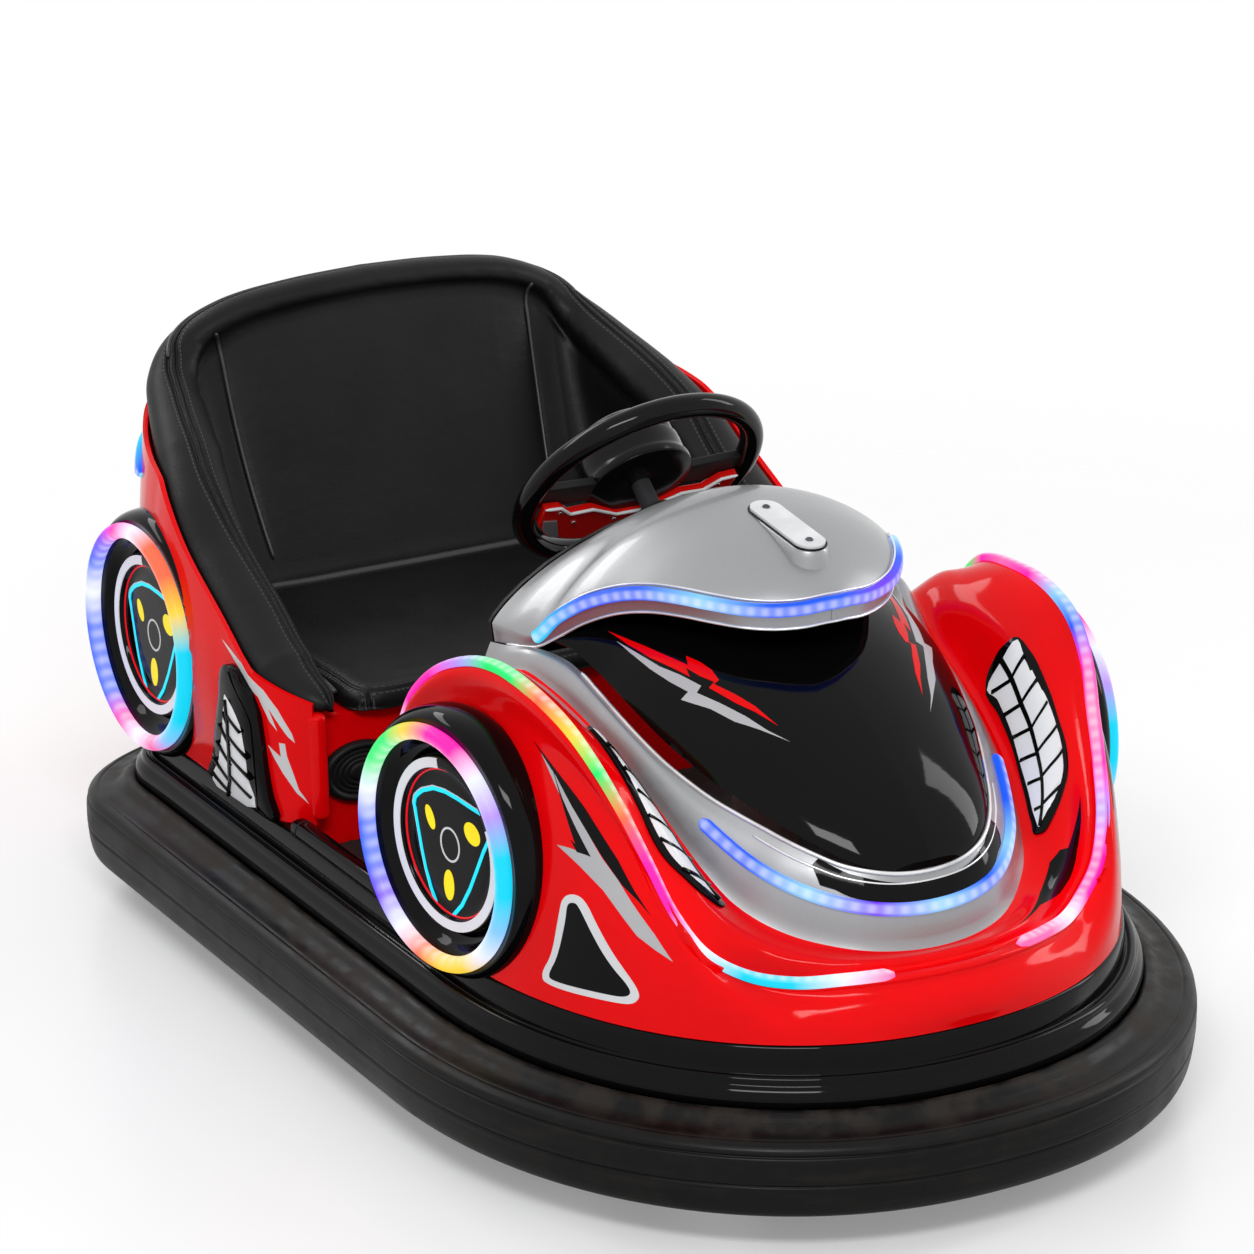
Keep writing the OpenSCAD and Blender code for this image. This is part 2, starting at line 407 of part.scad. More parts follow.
// Red lower spoke plate with its arch over the column boss, in the plane of the wheel; +Y is the side nearest the driver
spoke_half = [[20, 40], [60, 19], [86, 32], [98, 6], [127, 4], [124, 36], [100, 62], [66, 76], [30, 84], [22, 66]];
spoke_outline = concat(spoke_half, [for (k = [len(spoke_half) - 1:-1:0]) [-spoke_half[k][0], spoke_half[k][1]]]);
module rim_space() rotate_extrude($fn = 72) translate([rim_radius, 0]) circle(r = rim_tube + 0.1, $fn = 24);
module steering_spokes() color(red) on_column() difference() {
    translate([0, 0, -16]) linear_extrude(9.7) polygon(spoke_outline);
    rim_space();
}
module steering_hub() color(black) on_column() {
    difference() {
        union() {
            translate([0, 0, -6]) cylinder(r = 62, h = 11);
            translate([-rim_radius + 4, -16, -6]) cube([2 * rim_radius - 8, 34, 10]);
        }
        rim_space();
        translate([0, 0, -7]) cylinder(r = shaft_radius + fit_gap, h = 9);
    }
    translate([0, 0, 5]) rotate_extrude($fn = 64) polygon([[0, 0], [60, 0], [60, 30], [57, 32], [57, 48], [53, 56], [44, 60], [0, 62]]);
    translate([0, 0, -36]) difference() { cylinder(r = 28, h = 30); translate([0, 0, -1]) cylinder(r = shaft_radius + fit_gap, h = 32); }
}
shaft_reach = (wheel_y - drive_y) / cos(column_tilt);
module steering_shaft() color(silver) on_column() translate([0, 0, -shaft_reach + 60]) cylinder(r = shaft_radius, h = shaft_reach - 58.2);
// Column tube with the flange that bolts it to the driver's side of the bulkhead
module column_tube() color(black) difference() {
    union() {
        on_column() translate([0, 0, -220]) cylinder(r = 22, h = 176);
        translate([0, bulkhead_y + 15.3, wheel_z - (wheel_y - bulkhead_y) * tan(column_tilt)]) rotate([90, 0, 0]) cylinder(r = 52, h = 10);
    }
    on_column() translate([0, 0, -240]) cylinder(r = shaft_radius + fit_gap, h = 200);
}
// Gear housing that joins the sloping shaft to the upright of the steered wheel
box_z = wheel_z - (wheel_y - drive_y) * tan(column_tilt);
module steering_box() color(silver) difference() {
    translate([-55, drive_y - 55, 232.6]) cube([110, 130, 110]);
    on_column() translate([0, 0, -shaft_reach + 55]) cylinder(r = shaft_radius + fit_gap, h = 200);
    translate([0, drive_y, 200]) cylinder(r = 18 + fit_gap, h = 70);
}
// Steered fork with the drive wheel's axle
module steering_fork() color(silver) {
    translate([0, drive_y, 0]) {
        translate([0, 0, 226]) cylinder(r = 18, h = 40);
        translate([-45, -32, 214]) cube([90, 64, 12]);
        for (s = [0, 1]) mirror([s, 0, 0]) difference() { translate([34, -26, 76]) cube([10, 52, 138]); translate([30, 0, drive_radius]) rotate([0, 90, 0]) cylinder(r = 10, h = 20); }
        translate([-46, 0, drive_radius]) rotate([0, 90, 0]) cylinder(r = 10, h = 92);
    }
}
module wheel_at(x, y, r) translate([x, y, r]) rotate([0, 90, 0]) children();
module tyre(r, w, bore) rotate_extrude($fn = 64) polygon([[bore, -w / 2], [r - 6, -w / 2], [r - 1.5, -w / 2 + 5], [r, -w / 2 + 12], [r, w / 2 - 12], [r - 1.5, w / 2 - 5], [r - 6, w / 2], [bore, w / 2]]);
module drive_tyre() color(black) wheel_at(0, drive_y, drive_radius) tyre(drive_radius, drive_width, 66);
module drive_motor() color(silver) wheel_at(0, drive_y, drive_radius) rotate_extrude($fn = 64)
    polygon([[10 + fit_gap, -26], [40, -26], [58, -20], [66, -16], [66, 16], [58, 20], [40, 26], [10 + fit_gap, 26]]);
module rear_tyre(s) color(black) wheel_at(s * rear_x, rear_y, rear_radius) tyre(rear_radius, rear_width, 45);
module rear_hub(s) color(silver) wheel_at(s * rear_x, rear_y, rear_radius) rotate_extrude($fn = 48)
    polygon([[8 + fit_gap, -20], [16, -20], [20, -8], [38, -8], [45, -14], [45, 14], [38, 8], [20, 8], [16, 20], [8 + fit_gap, 20]]);
module rear_tyre_left() rear_tyre(1);
module rear_hub_left() rear_hub(1);
module rear_tyre_right() rear_tyre(-1);
module rear_hub_right() rear_hub(-1);
module rear_brackets() color(silver) for (s = [-1, 1]) translate([s * rear_x, rear_y, 0]) {
    translate([s > 0 ? -39.7 : -59.7, -30, frame_top - 6]) cube([99.4, 60, 6]);
    for (d = [-1, 1]) translate([d * 30 - 4, -22, rear_radius - 20]) cube([8, 44, frame_top - 6 - rear_radius + 20]);
    translate([-38, 0, rear_radius]) rotate([0, 90, 0]) cylinder(r = 8, h = 76);
}
// Steel frame under the floor
rail = 40;
rail_low = frame_top - rail;
rail_x = rear_x - 60;
side_rail_x = rear_x + 80;
battery_width = 280;
module chassis_frame() color([0.2, 0.2, 0.22]) {
    intersection() {
        union() {
            for (s = [-1, 1]) translate([s * rail_x - rail / 2, -560, rail_low]) cube([rail, 1180, rail]);
            for (y = [-480, -180, 170, 490]) translate([50 - half_width, y, rail_low]) cube([2 * half_width - 100, rail, rail]);
            for (s = [-1, 1]) translate([s * side_rail_x - rail / 2, -180, rail_low]) cube([rail, 710, rail]);
        }
        translate([0, 0, 100]) linear_extrude(60) polygon(plan(tray_inset + 14));
    }
    translate([-battery_width / 2 - 10, 215, frame_top - 6]) cube([battery_width + 20, 250, 6]);
    for (y = [222, 452]) translate([-rail_x + 15, y, frame_top - 6]) cube([2 * rail_x - 30, 6, 6]);
}
// Bridge over the frame rails that carries the fork's bearing and the steering gear
bridge_rise = 75;
bridge_depth = 150;
module steering_bridge() color([0.2, 0.2, 0.22]) difference() {
    union() {
        translate([-rail_x - rail / 2, drive_y - bridge_depth / 2, frame_top + bridge_rise - 0.7]) cube([2 * rail_x + rail, bridge_depth, 6]);
        for (s = [-1, 1]) translate([s * rail_x - rail / 2, drive_y - bridge_depth / 2, frame_top + 0.3]) cube([rail, bridge_depth, bridge_rise - 0.5]);
    }
    translate([0, drive_y, 220]) cylinder(r = 18 + fit_gap, h = 20);
    for (s = [-1, 1]) translate([s * rail_x - rail / 2 + 4, drive_y - bridge_depth / 2 - 1, frame_top + 4.3]) cube([rail - 8, bridge_depth + 2, bridge_rise - 10]);
}
floor_half = half_width - 105;
floor_front = -140;
module floor_pan() color(black) translate([-floor_half, floor_front, frame_top + 0.3]) cube([2 * floor_half, box_front - 0.3 - floor_front, 8]);
module battery() color([0.15, 0.15, 0.16]) translate([-battery_width / 2, 225, frame_top + 0.3]) cube([battery_width, 230, 104]);
module pedal() color(silver) translate([165, -128, frame_top + 8.6]) rotate([90, 0, -90]) linear_extrude(60)
    polygon([[0, 0], [-30, 0], [-30, 5], [-8, 5], [46, 86], [52, 82]]);

bumper_tyre();
base_tray();
floor_pan();
chassis_frame();
front_body();
nose_surround();
bonnet_panel();
cowl();
cowl_chin();
dash_panel();
cowl_plate();
headlights();
fender_lights();
cowl_light();
surround_light();
rear_body();
rear_lights();
side_fins();
fin_lenses();
seat_box();
speaker_covers();
seat_cushion();
seat_back();
seat_roll();
pod_tyres();
pod_rings();
pod_faces();
column_tube();
steering_box();
steering_rim();
steering_spokes();
steering_hub();
steering_shaft();
steering_fork();
drive_tyre();
drive_motor();
rear_brackets();
rear_tyre_left();
rear_hub_left();
rear_tyre_right();
rear_hub_right();
steering_bridge();
battery();
pedal();
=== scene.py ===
import math
import bmesh
import bpy
import numpy as np
from mathutils import Matrix, Vector
from mathutils.geometry import delaunay_2d_cdt


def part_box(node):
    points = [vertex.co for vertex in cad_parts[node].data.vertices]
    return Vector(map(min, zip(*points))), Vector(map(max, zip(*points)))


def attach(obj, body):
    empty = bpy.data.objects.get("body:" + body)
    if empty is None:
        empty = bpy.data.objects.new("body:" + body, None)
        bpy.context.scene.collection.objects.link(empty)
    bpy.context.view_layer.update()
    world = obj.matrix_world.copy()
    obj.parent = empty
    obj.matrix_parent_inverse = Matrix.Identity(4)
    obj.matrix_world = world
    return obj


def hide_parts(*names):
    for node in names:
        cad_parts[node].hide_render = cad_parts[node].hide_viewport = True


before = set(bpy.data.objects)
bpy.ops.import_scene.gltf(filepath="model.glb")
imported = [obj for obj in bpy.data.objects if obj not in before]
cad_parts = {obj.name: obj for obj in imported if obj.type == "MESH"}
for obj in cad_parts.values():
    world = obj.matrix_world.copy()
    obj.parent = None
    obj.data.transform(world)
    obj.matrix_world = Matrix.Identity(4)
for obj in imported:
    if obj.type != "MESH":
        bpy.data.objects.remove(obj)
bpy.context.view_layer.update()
scene = bpy.context.scene
print("frame loaded")

# Camera fitted to the photograph: azimuth and elevation in degrees, lengths in metres
cameraPlan = {"azimuth": -30.07, "elevation": 20.16, "distance": 5.5114,
              "target": (-0.0094, 0.0464, 0.4129), "roll": 0.07, "lens": 143.54}


def placeCamera(plan):
    a, e = math.radians(plan["azimuth"]), math.radians(plan["elevation"])
    back = Vector((math.sin(a) * math.cos(e), -math.cos(a) * math.cos(e), math.sin(e)))
    camera = bpy.data.cameras.new("photoCamera")
    camera.lens, camera.sensor_width, camera.sensor_fit = plan["lens"], 36, "HORIZONTAL"
    camera.clip_end = 60
    obj = bpy.data.objects.new("photoCamera", camera)
    obj.location = Vector(plan["target"]) + back * plan["distance"]
    roll = Matrix.Rotation(math.radians(plan["roll"]), 3, "Z")
    obj.rotation_euler = (back.to_track_quat("Z", "Y").to_matrix() @ roll).to_euler()
    scene.collection.objects.link(obj)
    scene.camera = obj


# A number inside a material; arithmetic on it adds Math nodes
class Num:
    def __init__(self, nodes, socket):
        self.nodes, self.socket = nodes, socket

    def math(self, operation, *others):
        return self.nodes.node("ShaderNodeMath", {"operation": operation}, [self, *others])

    def __add__(self, other):
        return self.math("ADD", other)

    def __mul__(self, other):
        return self.math("MULTIPLY", other)

    def __sub__(self, other):
        return self.math("SUBTRACT", other)

    def __rsub__(self, other):
        return self.nodes.node("ShaderNodeMath", {"operation": "SUBTRACT"}, [other, self])

    __radd__, __rmul__ = __add__, __mul__

    def low(self, other):
        return self.math("MINIMUM", other)

    def size(self):
        return self.math("ABSOLUTE")

    def rest(self):
        return self.math("FRACT")

    # 0 below a and 1 above b, smooth between
    def fade(self, a, b):
        return self.nodes.node("ShaderNodeMapRange", {"interpolation_type": "SMOOTHSTEP"},
                               [self, a, b, 0.0, 1.0])


# A node tree with one way of adding nodes; a value that is a number of the tree becomes a link
class Nodes:
    def __init__(self, tree):
        self.tree = tree

    def put(self, socket, value):
        if isinstance(value, Num):
            self.tree.links.new(value.socket, socket)
        elif socket.type == "RGBA":
            socket.default_value = (*value[:3], 1.0)
        else:
            socket.default_value = value

    # Any node: its type, its settings, then the values or links of its sockets
    def node(self, kind, settings=None, values=(), out=0):
        made = self.tree.nodes.new(kind)
        for key, value in (settings or {}).items():
            if key == "stops":
                ramp = made.color_ramp
                while len(ramp.elements) < len(value):
                    ramp.elements.new(1.0)
                for element, (place, color) in zip(ramp.elements, value):
                    element.position, element.color = place, (*color, 1.0)
            else:
                setattr(made, key, value)
        for key, value in (values.items() if isinstance(values, dict) else enumerate(values)):
            self.put(made.inputs[key], value)
        return Num(self, made.outputs[out])


socketNames = {"color": "Base Color", "metallic": "Metallic", "roughness": "Roughness", "normal": "Normal",
               "ior": "IOR", "specular": "Specular IOR Level", "coat": "Coat Weight",
               "coatRough": "Coat Roughness", "glow": "Emission Color", "glowStrength": "Emission Strength"}


# A material around one Principled shader; the values given are set on the shader's own sockets
class Paint(Nodes):
    def __init__(self, name, **values):
        self.material = bpy.data.materials.new(name)
        self.material.use_nodes = True
        super().__init__(self.material.node_tree)
        self.shader = self.tree.nodes["Principled BSDF"]
        for key, value in values.items():
            self.feed(key, value)

    def feed(self, key, value):
        self.put(self.shader.inputs[socketNames[key]], value)
        return self

    def place(self):
        return self.node("ShaderNodeTexCoord", out=3)

    def axes(self, vector):
        return [self.node("ShaderNodeSeparateXYZ", {}, [vector], k) for k in range(3)]

    def uv(self, name="grid"):
        return self.axes(self.node("ShaderNodeUVMap", {"uv_map": name}))[:2]

    def noise(self, scale, detail=3.0, stretch=(1.0, 1.0, 1.0)):
        where = self.node("ShaderNodeMapping", {}, {"Vector": self.place(), "Scale": stretch})
        values = {"Vector": where, "Scale": scale, "Detail": detail, "Roughness": 0.55}
        return self.node("ShaderNodeTexNoise", {}, values)

    def cells(self, scale, out=0):
        return self.node("ShaderNodeTexVoronoi", {}, {"Vector": self.place(), "Scale": scale}, out)

    def mix(self, mask, a, b):
        return self.node("ShaderNodeMix", {"data_type": "RGBA"}, {0: mask, 6: a, 7: b}, 2)

    def bump(self, height, strength, distance, under=None):
        values = {"Strength": strength, "Distance": distance, "Height": height}
        if under is not None:
            values["Normal"] = under
        return self.node("ShaderNodeBump", {}, values)


# Scuffed rubber: streaks and blotches of dust over black, more dust above the height low, all of it at high
def rubberPaint(name, dark=0.0035, dusty=(0.03, 0.024, 0.019), low=0.0, high=0.0):
    p = Paint(name, ior=1.24)
    streaks, blotch = p.noise(7.0, 5.0, (1.0, 1.0, 14.0)), p.noise(26.0, 4.0)
    lines = p.noise(4.0, 3.0, (1.0, 1.0, 90.0))
    dust = (streaks * 0.6 + blotch * 0.6).fade(0.55, 0.85)
    if high:
        edge = p.axes(p.place())[2].fade(low, high)
        dust = (dust * 0.45 + edge * blotch.fade(0.38, 0.62) * 0.8).low(1.0)
    p.feed("color", p.mix(dust * 0.7, (dark, dark * 0.98, dark * 0.96), dusty))
    p.feed("roughness", 0.26 + blotch * 0.2 + dust * 0.25)
    worn = p.bump(lines, 0.35, 0.0008, p.bump(streaks, 0.2, 0.0012))
    return p.feed("normal", p.bump(p.noise(900.0, 2.0), 0.2, 0.0003, worn))


# Gloss lacquer: smears change its colour and roughness a little, and a fine ripple its normal; lit makes it
# glow in its own colour, which on the pod-face marks is painted light
def glossPaint(name, color, rough=0.09, peel=0.05, lit=0.0, ior=1.3):
    p = Paint(name, ior=ior, glow=color, glowStrength=lit)
    smear = p.noise(14.0, 4.0)
    deep = tuple(c * 0.93 for c in color)
    p.feed("color", p.mix(smear.fade(0.3, 0.75), deep, color))
    p.feed("roughness", rough + smear * 0.08)
    return p.feed("normal", p.bump(p.noise(120.0, 1.0), peel, 0.0006))


# Metallic lacquer: the colour of each small flake is a random number, under a clear coat
def silverPaint(name, color=(0.36, 0.365, 0.375)):
    p = Paint(name, metallic=0.75, coat=0.4, coatRough=0.06)
    flakes, cloud = p.cells(2600.0, out=1), p.noise(10.0, 3.0)
    flake = p.axes(flakes)[0]
    p.feed("color", p.mix(flake * 0.35 + cloud * 0.15, color, tuple(c * 0.72 for c in color)))
    p.feed("roughness", 0.32 + flake * 0.1 + cloud * 0.05)
    return p.feed("normal", p.bump(flake, 0.05, 0.0002, p.bump(p.noise(110.0, 1.0), 0.04, 0.0006)))


# Grained cover with painted shade in its seam grooves; beside each seam of the UV map "seam" runs a row of
# short stitches, in millimetres
stitches = {"pitch": 6.5, "away": 4.6}


def leatherPaint(name, dark=0.0035):
    p = Paint(name, ior=1.27)
    pores, folds, wear = p.cells(620.0), p.noise(34.0, 5.0, (1.0, 1.0, 1.6)), p.noise(7.0, 3.0)
    along, away = p.uv("seam")
    groove = 1.0 - away.size().fade(0.5, 2.2)
    row = 1.0 - (away.size() - stitches["away"]).size().fade(0.35, 0.95)
    stitch = row * (1.0 - ((along * (1 / stitches["pitch"])).rest() - 0.5).size().fade(0.3, 0.38))
    cover = p.mix(wear.fade(0.35, 0.7), (dark, dark, dark * 1.02), (dark * 1.9, dark * 1.9, dark * 1.95))
    # painted shade: the colour in the seam groove is darkened almost to black
    cover = p.mix(groove * 0.9, cover, (0.001, 0.001, 0.001))
    p.feed("color", p.mix(stitch * 0.9, cover, (0.06, 0.06, 0.062)))
    p.feed("roughness", 0.3 + pores * 0.16 + wear * 0.12)
    height = stitch * 0.4 - groove - row * 0.25
    grain = p.bump(pores, 0.2, 0.0005, p.bump(folds, 0.35, 0.0018))
    return p.feed("normal", p.bump(height, 0.9, 0.002, grain))


# Grained plastic or plate: dust lightens the colour, fine noise gives the grain
def matPaint(name, color, rough=0.6, grain=700.0):
    p = Paint(name, ior=1.3)
    dust, fine = p.noise(12.0, 4.0), p.noise(grain, 2.0)
    p.feed("color", p.mix(dust.fade(0.4, 0.75), color, tuple(min(1.0, c * 1.5 + 0.006) for c in color)))
    p.feed("roughness", rough + dust * 0.18)
    return p.feed("normal", p.bump(fine, 0.3, 0.0004))


# Turned or cast metal: noise drawn out along one axis is the brushing, a second noise the stains
def metalPaint(name, color, rough=0.3, metallic=1.0):
    p = Paint(name, metallic=metallic)
    brushed, stain = p.noise(60.0, 4.0, (1.0, 1.0, 12.0)), p.noise(18.0, 4.0)
    p.feed("color", p.mix(stain.fade(0.4, 0.8), color, tuple(c * 0.6 for c in color)))
    p.feed("roughness", rough + brushed * 0.12 + stain * 0.1)
    return p.feed("normal", p.bump(brushed, 0.08, 0.0005))


# Milky strip over small lamps: the colours run along u, and a bright dot repeats along the strip
def lightPaint(name, stops, dots, strength=1.0):
    p = Paint(name, roughness=0.3, glowStrength=strength, ior=1.2)
    u, v = p.uv()
    hue = p.node("ShaderNodeValToRGB", {"stops": stops}, [u])
    dot = ((u * dots).rest() - 0.5).size()
    spot = (1.0 - dot.fade(0.02, 0.46)) * (1.0 - (v - 0.5).size().fade(0.0, 0.3))
    core = 1.0 - (v - 0.5).size().fade(0.05, 0.34)
    soft = p.mix(core * 0.22, hue, (1.0, 1.0, 1.0))
    p.feed("glow", p.mix(spot * 0.3, soft, (1.0, 1.0, 1.0)))
    return p.feed("color", p.mix(0.8, hue, (0.02, 0.02, 0.02)))


# Faces of an n by m grid of points, with the row and column of each one's first corner
def gridFaces(n, m, closeU=False, closeV=False):
    i, j = np.meshgrid(np.arange(n - (not closeU)), np.arange(m - (not closeV)), indexing="ij")
    i2, j2 = (i + 1) % n, (j + 1) % m
    return i, j, np.stack([i * m + j, i2 * m + j, i2 * m + j2, i * m + j2], -1).reshape(-1, 4)


# Points of a grid (n, m, 3) made into one smooth mesh; u and v run over the grid in the UV map "grid"
def surface(name, grid, material, closeU=False, closeV=False, caps=False, uvs=None, **more):
    n, m = grid.shape[:2]
    i, j, faces = gridFaces(n, m, closeU, closeV)
    u, v = uvs or (np.linspace(0, 1, i.shape[0] + 1), np.linspace(0, 1, i.shape[1] + 1))
    corners = [np.stack([u[i + right], v[j + up]], -1) for right, up in ((0, 0), (1, 0), (1, 1), (0, 1))]
    ends = [list(range(m)), list(range(n * m - 1, (n - 1) * m - 1, -1))] if caps else []
    uv = np.concatenate([np.stack(corners, 2).reshape(-1, 2), np.full((len(ends) * m, 2), 0.5)])
    mesh = bpy.data.meshes.new(name)
    mesh.from_pydata(grid.reshape(-1, 3).tolist(), [], faces.tolist() + ends)
    mesh.uv_layers.new(name="grid").data.foreach_set("uv", uv.ravel())
    return finish(name, mesh, material, **more)


# Mesh made an object that rides on a body; merge closes its seams and poles
def finish(name, mesh, material, body="car", replaces=(), slot=None, merge=False, smooth=True):
    if merge:
        work = bmesh.new()
        work.from_mesh(mesh)
        bmesh.ops.remove_doubles(work, verts=work.verts, dist=1e-6)
        bmesh.ops.recalc_face_normals(work, faces=work.faces)
        work.to_mesh(mesh)
        work.free()
    mesh.polygons.foreach_set("use_smooth", np.full(len(mesh.polygons), smooth))
    mesh.materials.append(material.material)
    obj = bpy.data.objects.new(name, mesh)
    scene.collection.objects.link(obj)
    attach(obj, body)
    if replaces:
        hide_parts(*replaces)
    return obj


# Smooth curve through points along the first axis: cubic pieces whose slopes weigh the neighbours by
#   their distance; per is the steps to each piece, or a list of them
def refine(points, per, closed=False):
    p = np.asarray(points, float)
    if closed:
        p = np.concatenate([p[-2:], p, p[:3]])
    h = np.linalg.norm(np.diff(p, axis=0), axis=-1, keepdims=True).clip(1e-9)
    d = np.diff(p, axis=0) / h
    slope = np.concatenate([d[:1], (d[:-1] * h[1:] + d[1:] * h[:-1]) / (h[1:] + h[:-1]), d[-1:]])
    count = [per] * (len(p) - 1) if np.isscalar(per) else per
    k = np.append(np.concatenate([np.full(c, i) for i, c in enumerate(count)]), len(p) - 2)
    f = np.append(np.concatenate([np.arange(c) / c for c in count]), 1.0)
    f = f.reshape(-1, *([1] * (p.ndim - 1)))
    out = p[k] * (2 * f**3 - 3 * f**2 + 1) + slope[k] * h[k] * (f**3 - 2 * f**2 + f)
    out = out + p[k + 1] * (3 * f**2 - 2 * f**3) + slope[k + 1] * h[k] * (f**3 - f**2)
    return out[2 * per:len(out) - 3 * per - 1] if closed else out


def refineBoth(grid, rows, columns):
    return np.swapaxes(refine(np.swapaxes(refine(grid, rows), 0, 1), columns), 0, 1)


# Length from the first point of a line to each of its points
def lengths(points):
    return np.concatenate([[0], np.cumsum(np.linalg.norm(np.diff(points, axis=0), axis=-1))])


# Steps from each point of a line to the nearer end
def endSteps(n):
    return np.minimum(np.arange(n), np.arange(n)[::-1])


# Profile of (radius, height) turned about an axis: radius * cos(a), radius * sin(a) and height as grids
def turned(profile, steps):
    radius, height = np.asarray(profile, float).T[:, None]
    a = np.linspace(0, 2 * np.pi, steps, endpoint=False)[:, None]
    return radius * np.cos(a), radius * np.sin(a), height + 0 * a


def unit(v):
    return v / np.linalg.norm(v, axis=-1, keepdims=True).clip(1e-12)


# Outward directions of a grid from the differences along its two ways
def facing(grid):
    return unit(np.cross(np.gradient(grid, axis=0), np.gradient(grid, axis=1)))


def mirrored(grid):
    return grid * np.array([-1.0, 1.0, 1.0])


# Rows of one half carried on to the other half, with the middle row once
def bothSides(rows):
    return np.concatenate([rows, mirrored(rows[-2::-1])])


# A shell's two sides and its edges as one closed surface: the outer grid, then the same grid set in by
#   the wall, with the two open ends closed face by face
def shell(name, grid, wall, material, **more):
    n, m = grid.shape[:2]
    band = np.concatenate([grid, (grid - facing(grid) * wall)[:, ::-1]], 1)
    u, v = np.linspace(0, 1, n), np.linspace(0, 1, m)
    uvs = (u, np.concatenate([v, v[::-1], v[:1]]))
    obj = surface(name, band, material, closeV=True, uvs=uvs, **more)
    work = bmesh.new()
    work.from_mesh(obj.data)
    work.verts.ensure_lookup_table()
    for row in (0, n - 1):
        a, b = row * 2 * m, row * 2 * m + 2 * m - 1
        for k in range(m - 1):
            ring = [work.verts[i] for i in (a + k, a + k + 1, b - k - 1, b - k)]
            work.faces.new(ring if row else ring[::-1])
    work.to_mesh(obj.data)
    work.free()
    obj.data.polygons.foreach_set("use_smooth", np.full(len(obj.data.polygons), True))
    sharpen(obj, 40)
    return obj


# Edges that turn by more than an angle stay crisp
def sharpen(obj, degrees):
    obj.data.set_sharp_from_angle(angle=math.radians(degrees))


# Plan of the car in millimetres: half width; for nose and tail the end of the straight side, the length
#   from there and the power of the squared ellipse; then the inset at which the shells stand
carPlan = {"half": 450, "nose": (-202, -509, 2.16), "tail": (493, 218, 2.47), "shellInset": 81}


# Squared ellipse: x = (half - inset) * cos(a)^(2 / power),
#   y = straight + (length - inset) * sin(a)^(2 / power)
def planEnd(end, inset, a):
    straight, length, power = carPlan[end]
    y = straight + math.copysign(1, length) * (abs(length) - inset) * np.sin(a) ** (2 / power)
    return np.stack([(carPlan["half"] - inset) * np.cos(a) ** (2 / power), y], -1)


# That plan with its straight sides as a closed loop (n, m, 2), one column for each inset
def planLoop(inset):
    a = np.radians(np.linspace(0, 90, 57))[:, None]
    nose, tail = planEnd("nose", inset[None, :], a)[::-1], planEnd("tail", inset[None, :], a)
    t = np.linspace(0, 1, 42)[1:-1, None, None]
    half = np.concatenate([nose, nose[-1] * (1 - t) + tail[0] * t, tail])
    half[0, :, 0] = half[-1, :, 0] = 0
    return np.concatenate([half, half[-2:0:-1] * np.array([-1, 1])])


# A profile of (inset, height) carried round that plan, in metres
def planRing(profile):
    flat = planLoop(profile[:, 0])
    return np.concatenate([flat, np.broadcast_to(profile[:, 1], flat.shape[:2])[..., None]], -1) / 1000


# Studio: a pale floor that fades into a white surround, and lamps as name, place, target, size and power
studio = {"floor": (0.8, 0.8, 0.805), "floorHalf": 3.2, "floorGlow": 0.24, "fade": (0.9, 2.5), "fill": 0.5,
          "lamps": [("keyLight", (-1.6, -2.6, 3.0), (0, 0, 0.3), (1.7, 0.7), 66.0),
                    ("sideLight", (3.0, -0.8, 1.9), (0, 0, 0.35), (0.6, 2.2), 26.0),
                    ("backLight", (-1.2, 2.6, 2.6), (0, 0.2, 0.4), (2.6, 0.6), 30.0)]}


def lamp(name, place, target, size, power):
    light = bpy.data.lights.new(name, "AREA")
    light.shape, light.size, light.size_y, light.energy = "RECTANGLE", size[0], size[1], power
    obj = bpy.data.objects.new(name, light)
    obj.location = place
    obj.rotation_euler = (Vector(place) - Vector(target)).to_track_quat("Z", "Y").to_euler()
    scene.collection.objects.link(obj)


# White where the camera, gloss or glass sees it, and a softer fill for everything else
def buildWorld():
    world = bpy.data.worlds.new("studio")
    scene.world = world
    world.use_nodes = True
    sky = Nodes(world.node_tree)
    rays = [sky.node("ShaderNodeLightPath", out="Is " + ray + " Ray")
            for ray in ("Camera", "Glossy", "Transmission")]
    seen = (rays[0] + rays[1] + rays[2]).low(1.0)
    background = sky.tree.nodes["Background"]
    sky.put(background.inputs["Color"], (1, 1, 1))
    sky.put(background.inputs["Strength"], seen * (1 - studio["fill"]) + studio["fill"])


def buildFloor():
    n = studio["floorHalf"]
    mesh = bpy.data.meshes.new("floor")
    mesh.from_pydata([(-n, -n, 0), (n, -n, 0), (n, n, 0), (-n, n, 0)], [], [(0, 1, 2, 3)])
    floor = bpy.data.objects.new("floor", mesh)
    scene.collection.objects.link(floor)
    p = Paint("floorPaint", roughness=0.3, specular=0.35, glowStrength=studio["floorGlow"])
    p.feed("glow", p.mix(p.node("ShaderNodeLightPath"), (0.0, 0.0, 0.0), (1.0, 1.0, 1.0)))
    dusty = tuple(c * 0.99 for c in studio["floor"])
    p.feed("color", p.mix(p.noise(3.0, 2.0).fade(0.3, 0.7), studio["floor"], dusty))
    # far from the car the floor turns into the surround, so no horizon shows
    x, y = p.axes(p.place())[:2]
    far = (x * x + y * y).math("SQRT").fade(*studio["fade"])
    clear = p.node("ShaderNodeBsdfTransparent")
    whole = p.node("ShaderNodeMixShader", {}, [far, Num(p, p.shader.outputs[0]), clear])
    p.put(p.tree.nodes["Material Output"].inputs["Surface"], whole)
    mesh.materials.append(p.material)


scene.view_settings.view_transform = "Standard"
placeCamera(cameraPlan)
buildWorld()
buildFloor()
for plan in studio["lamps"]:
    lamp(*plan)
print("studio built")

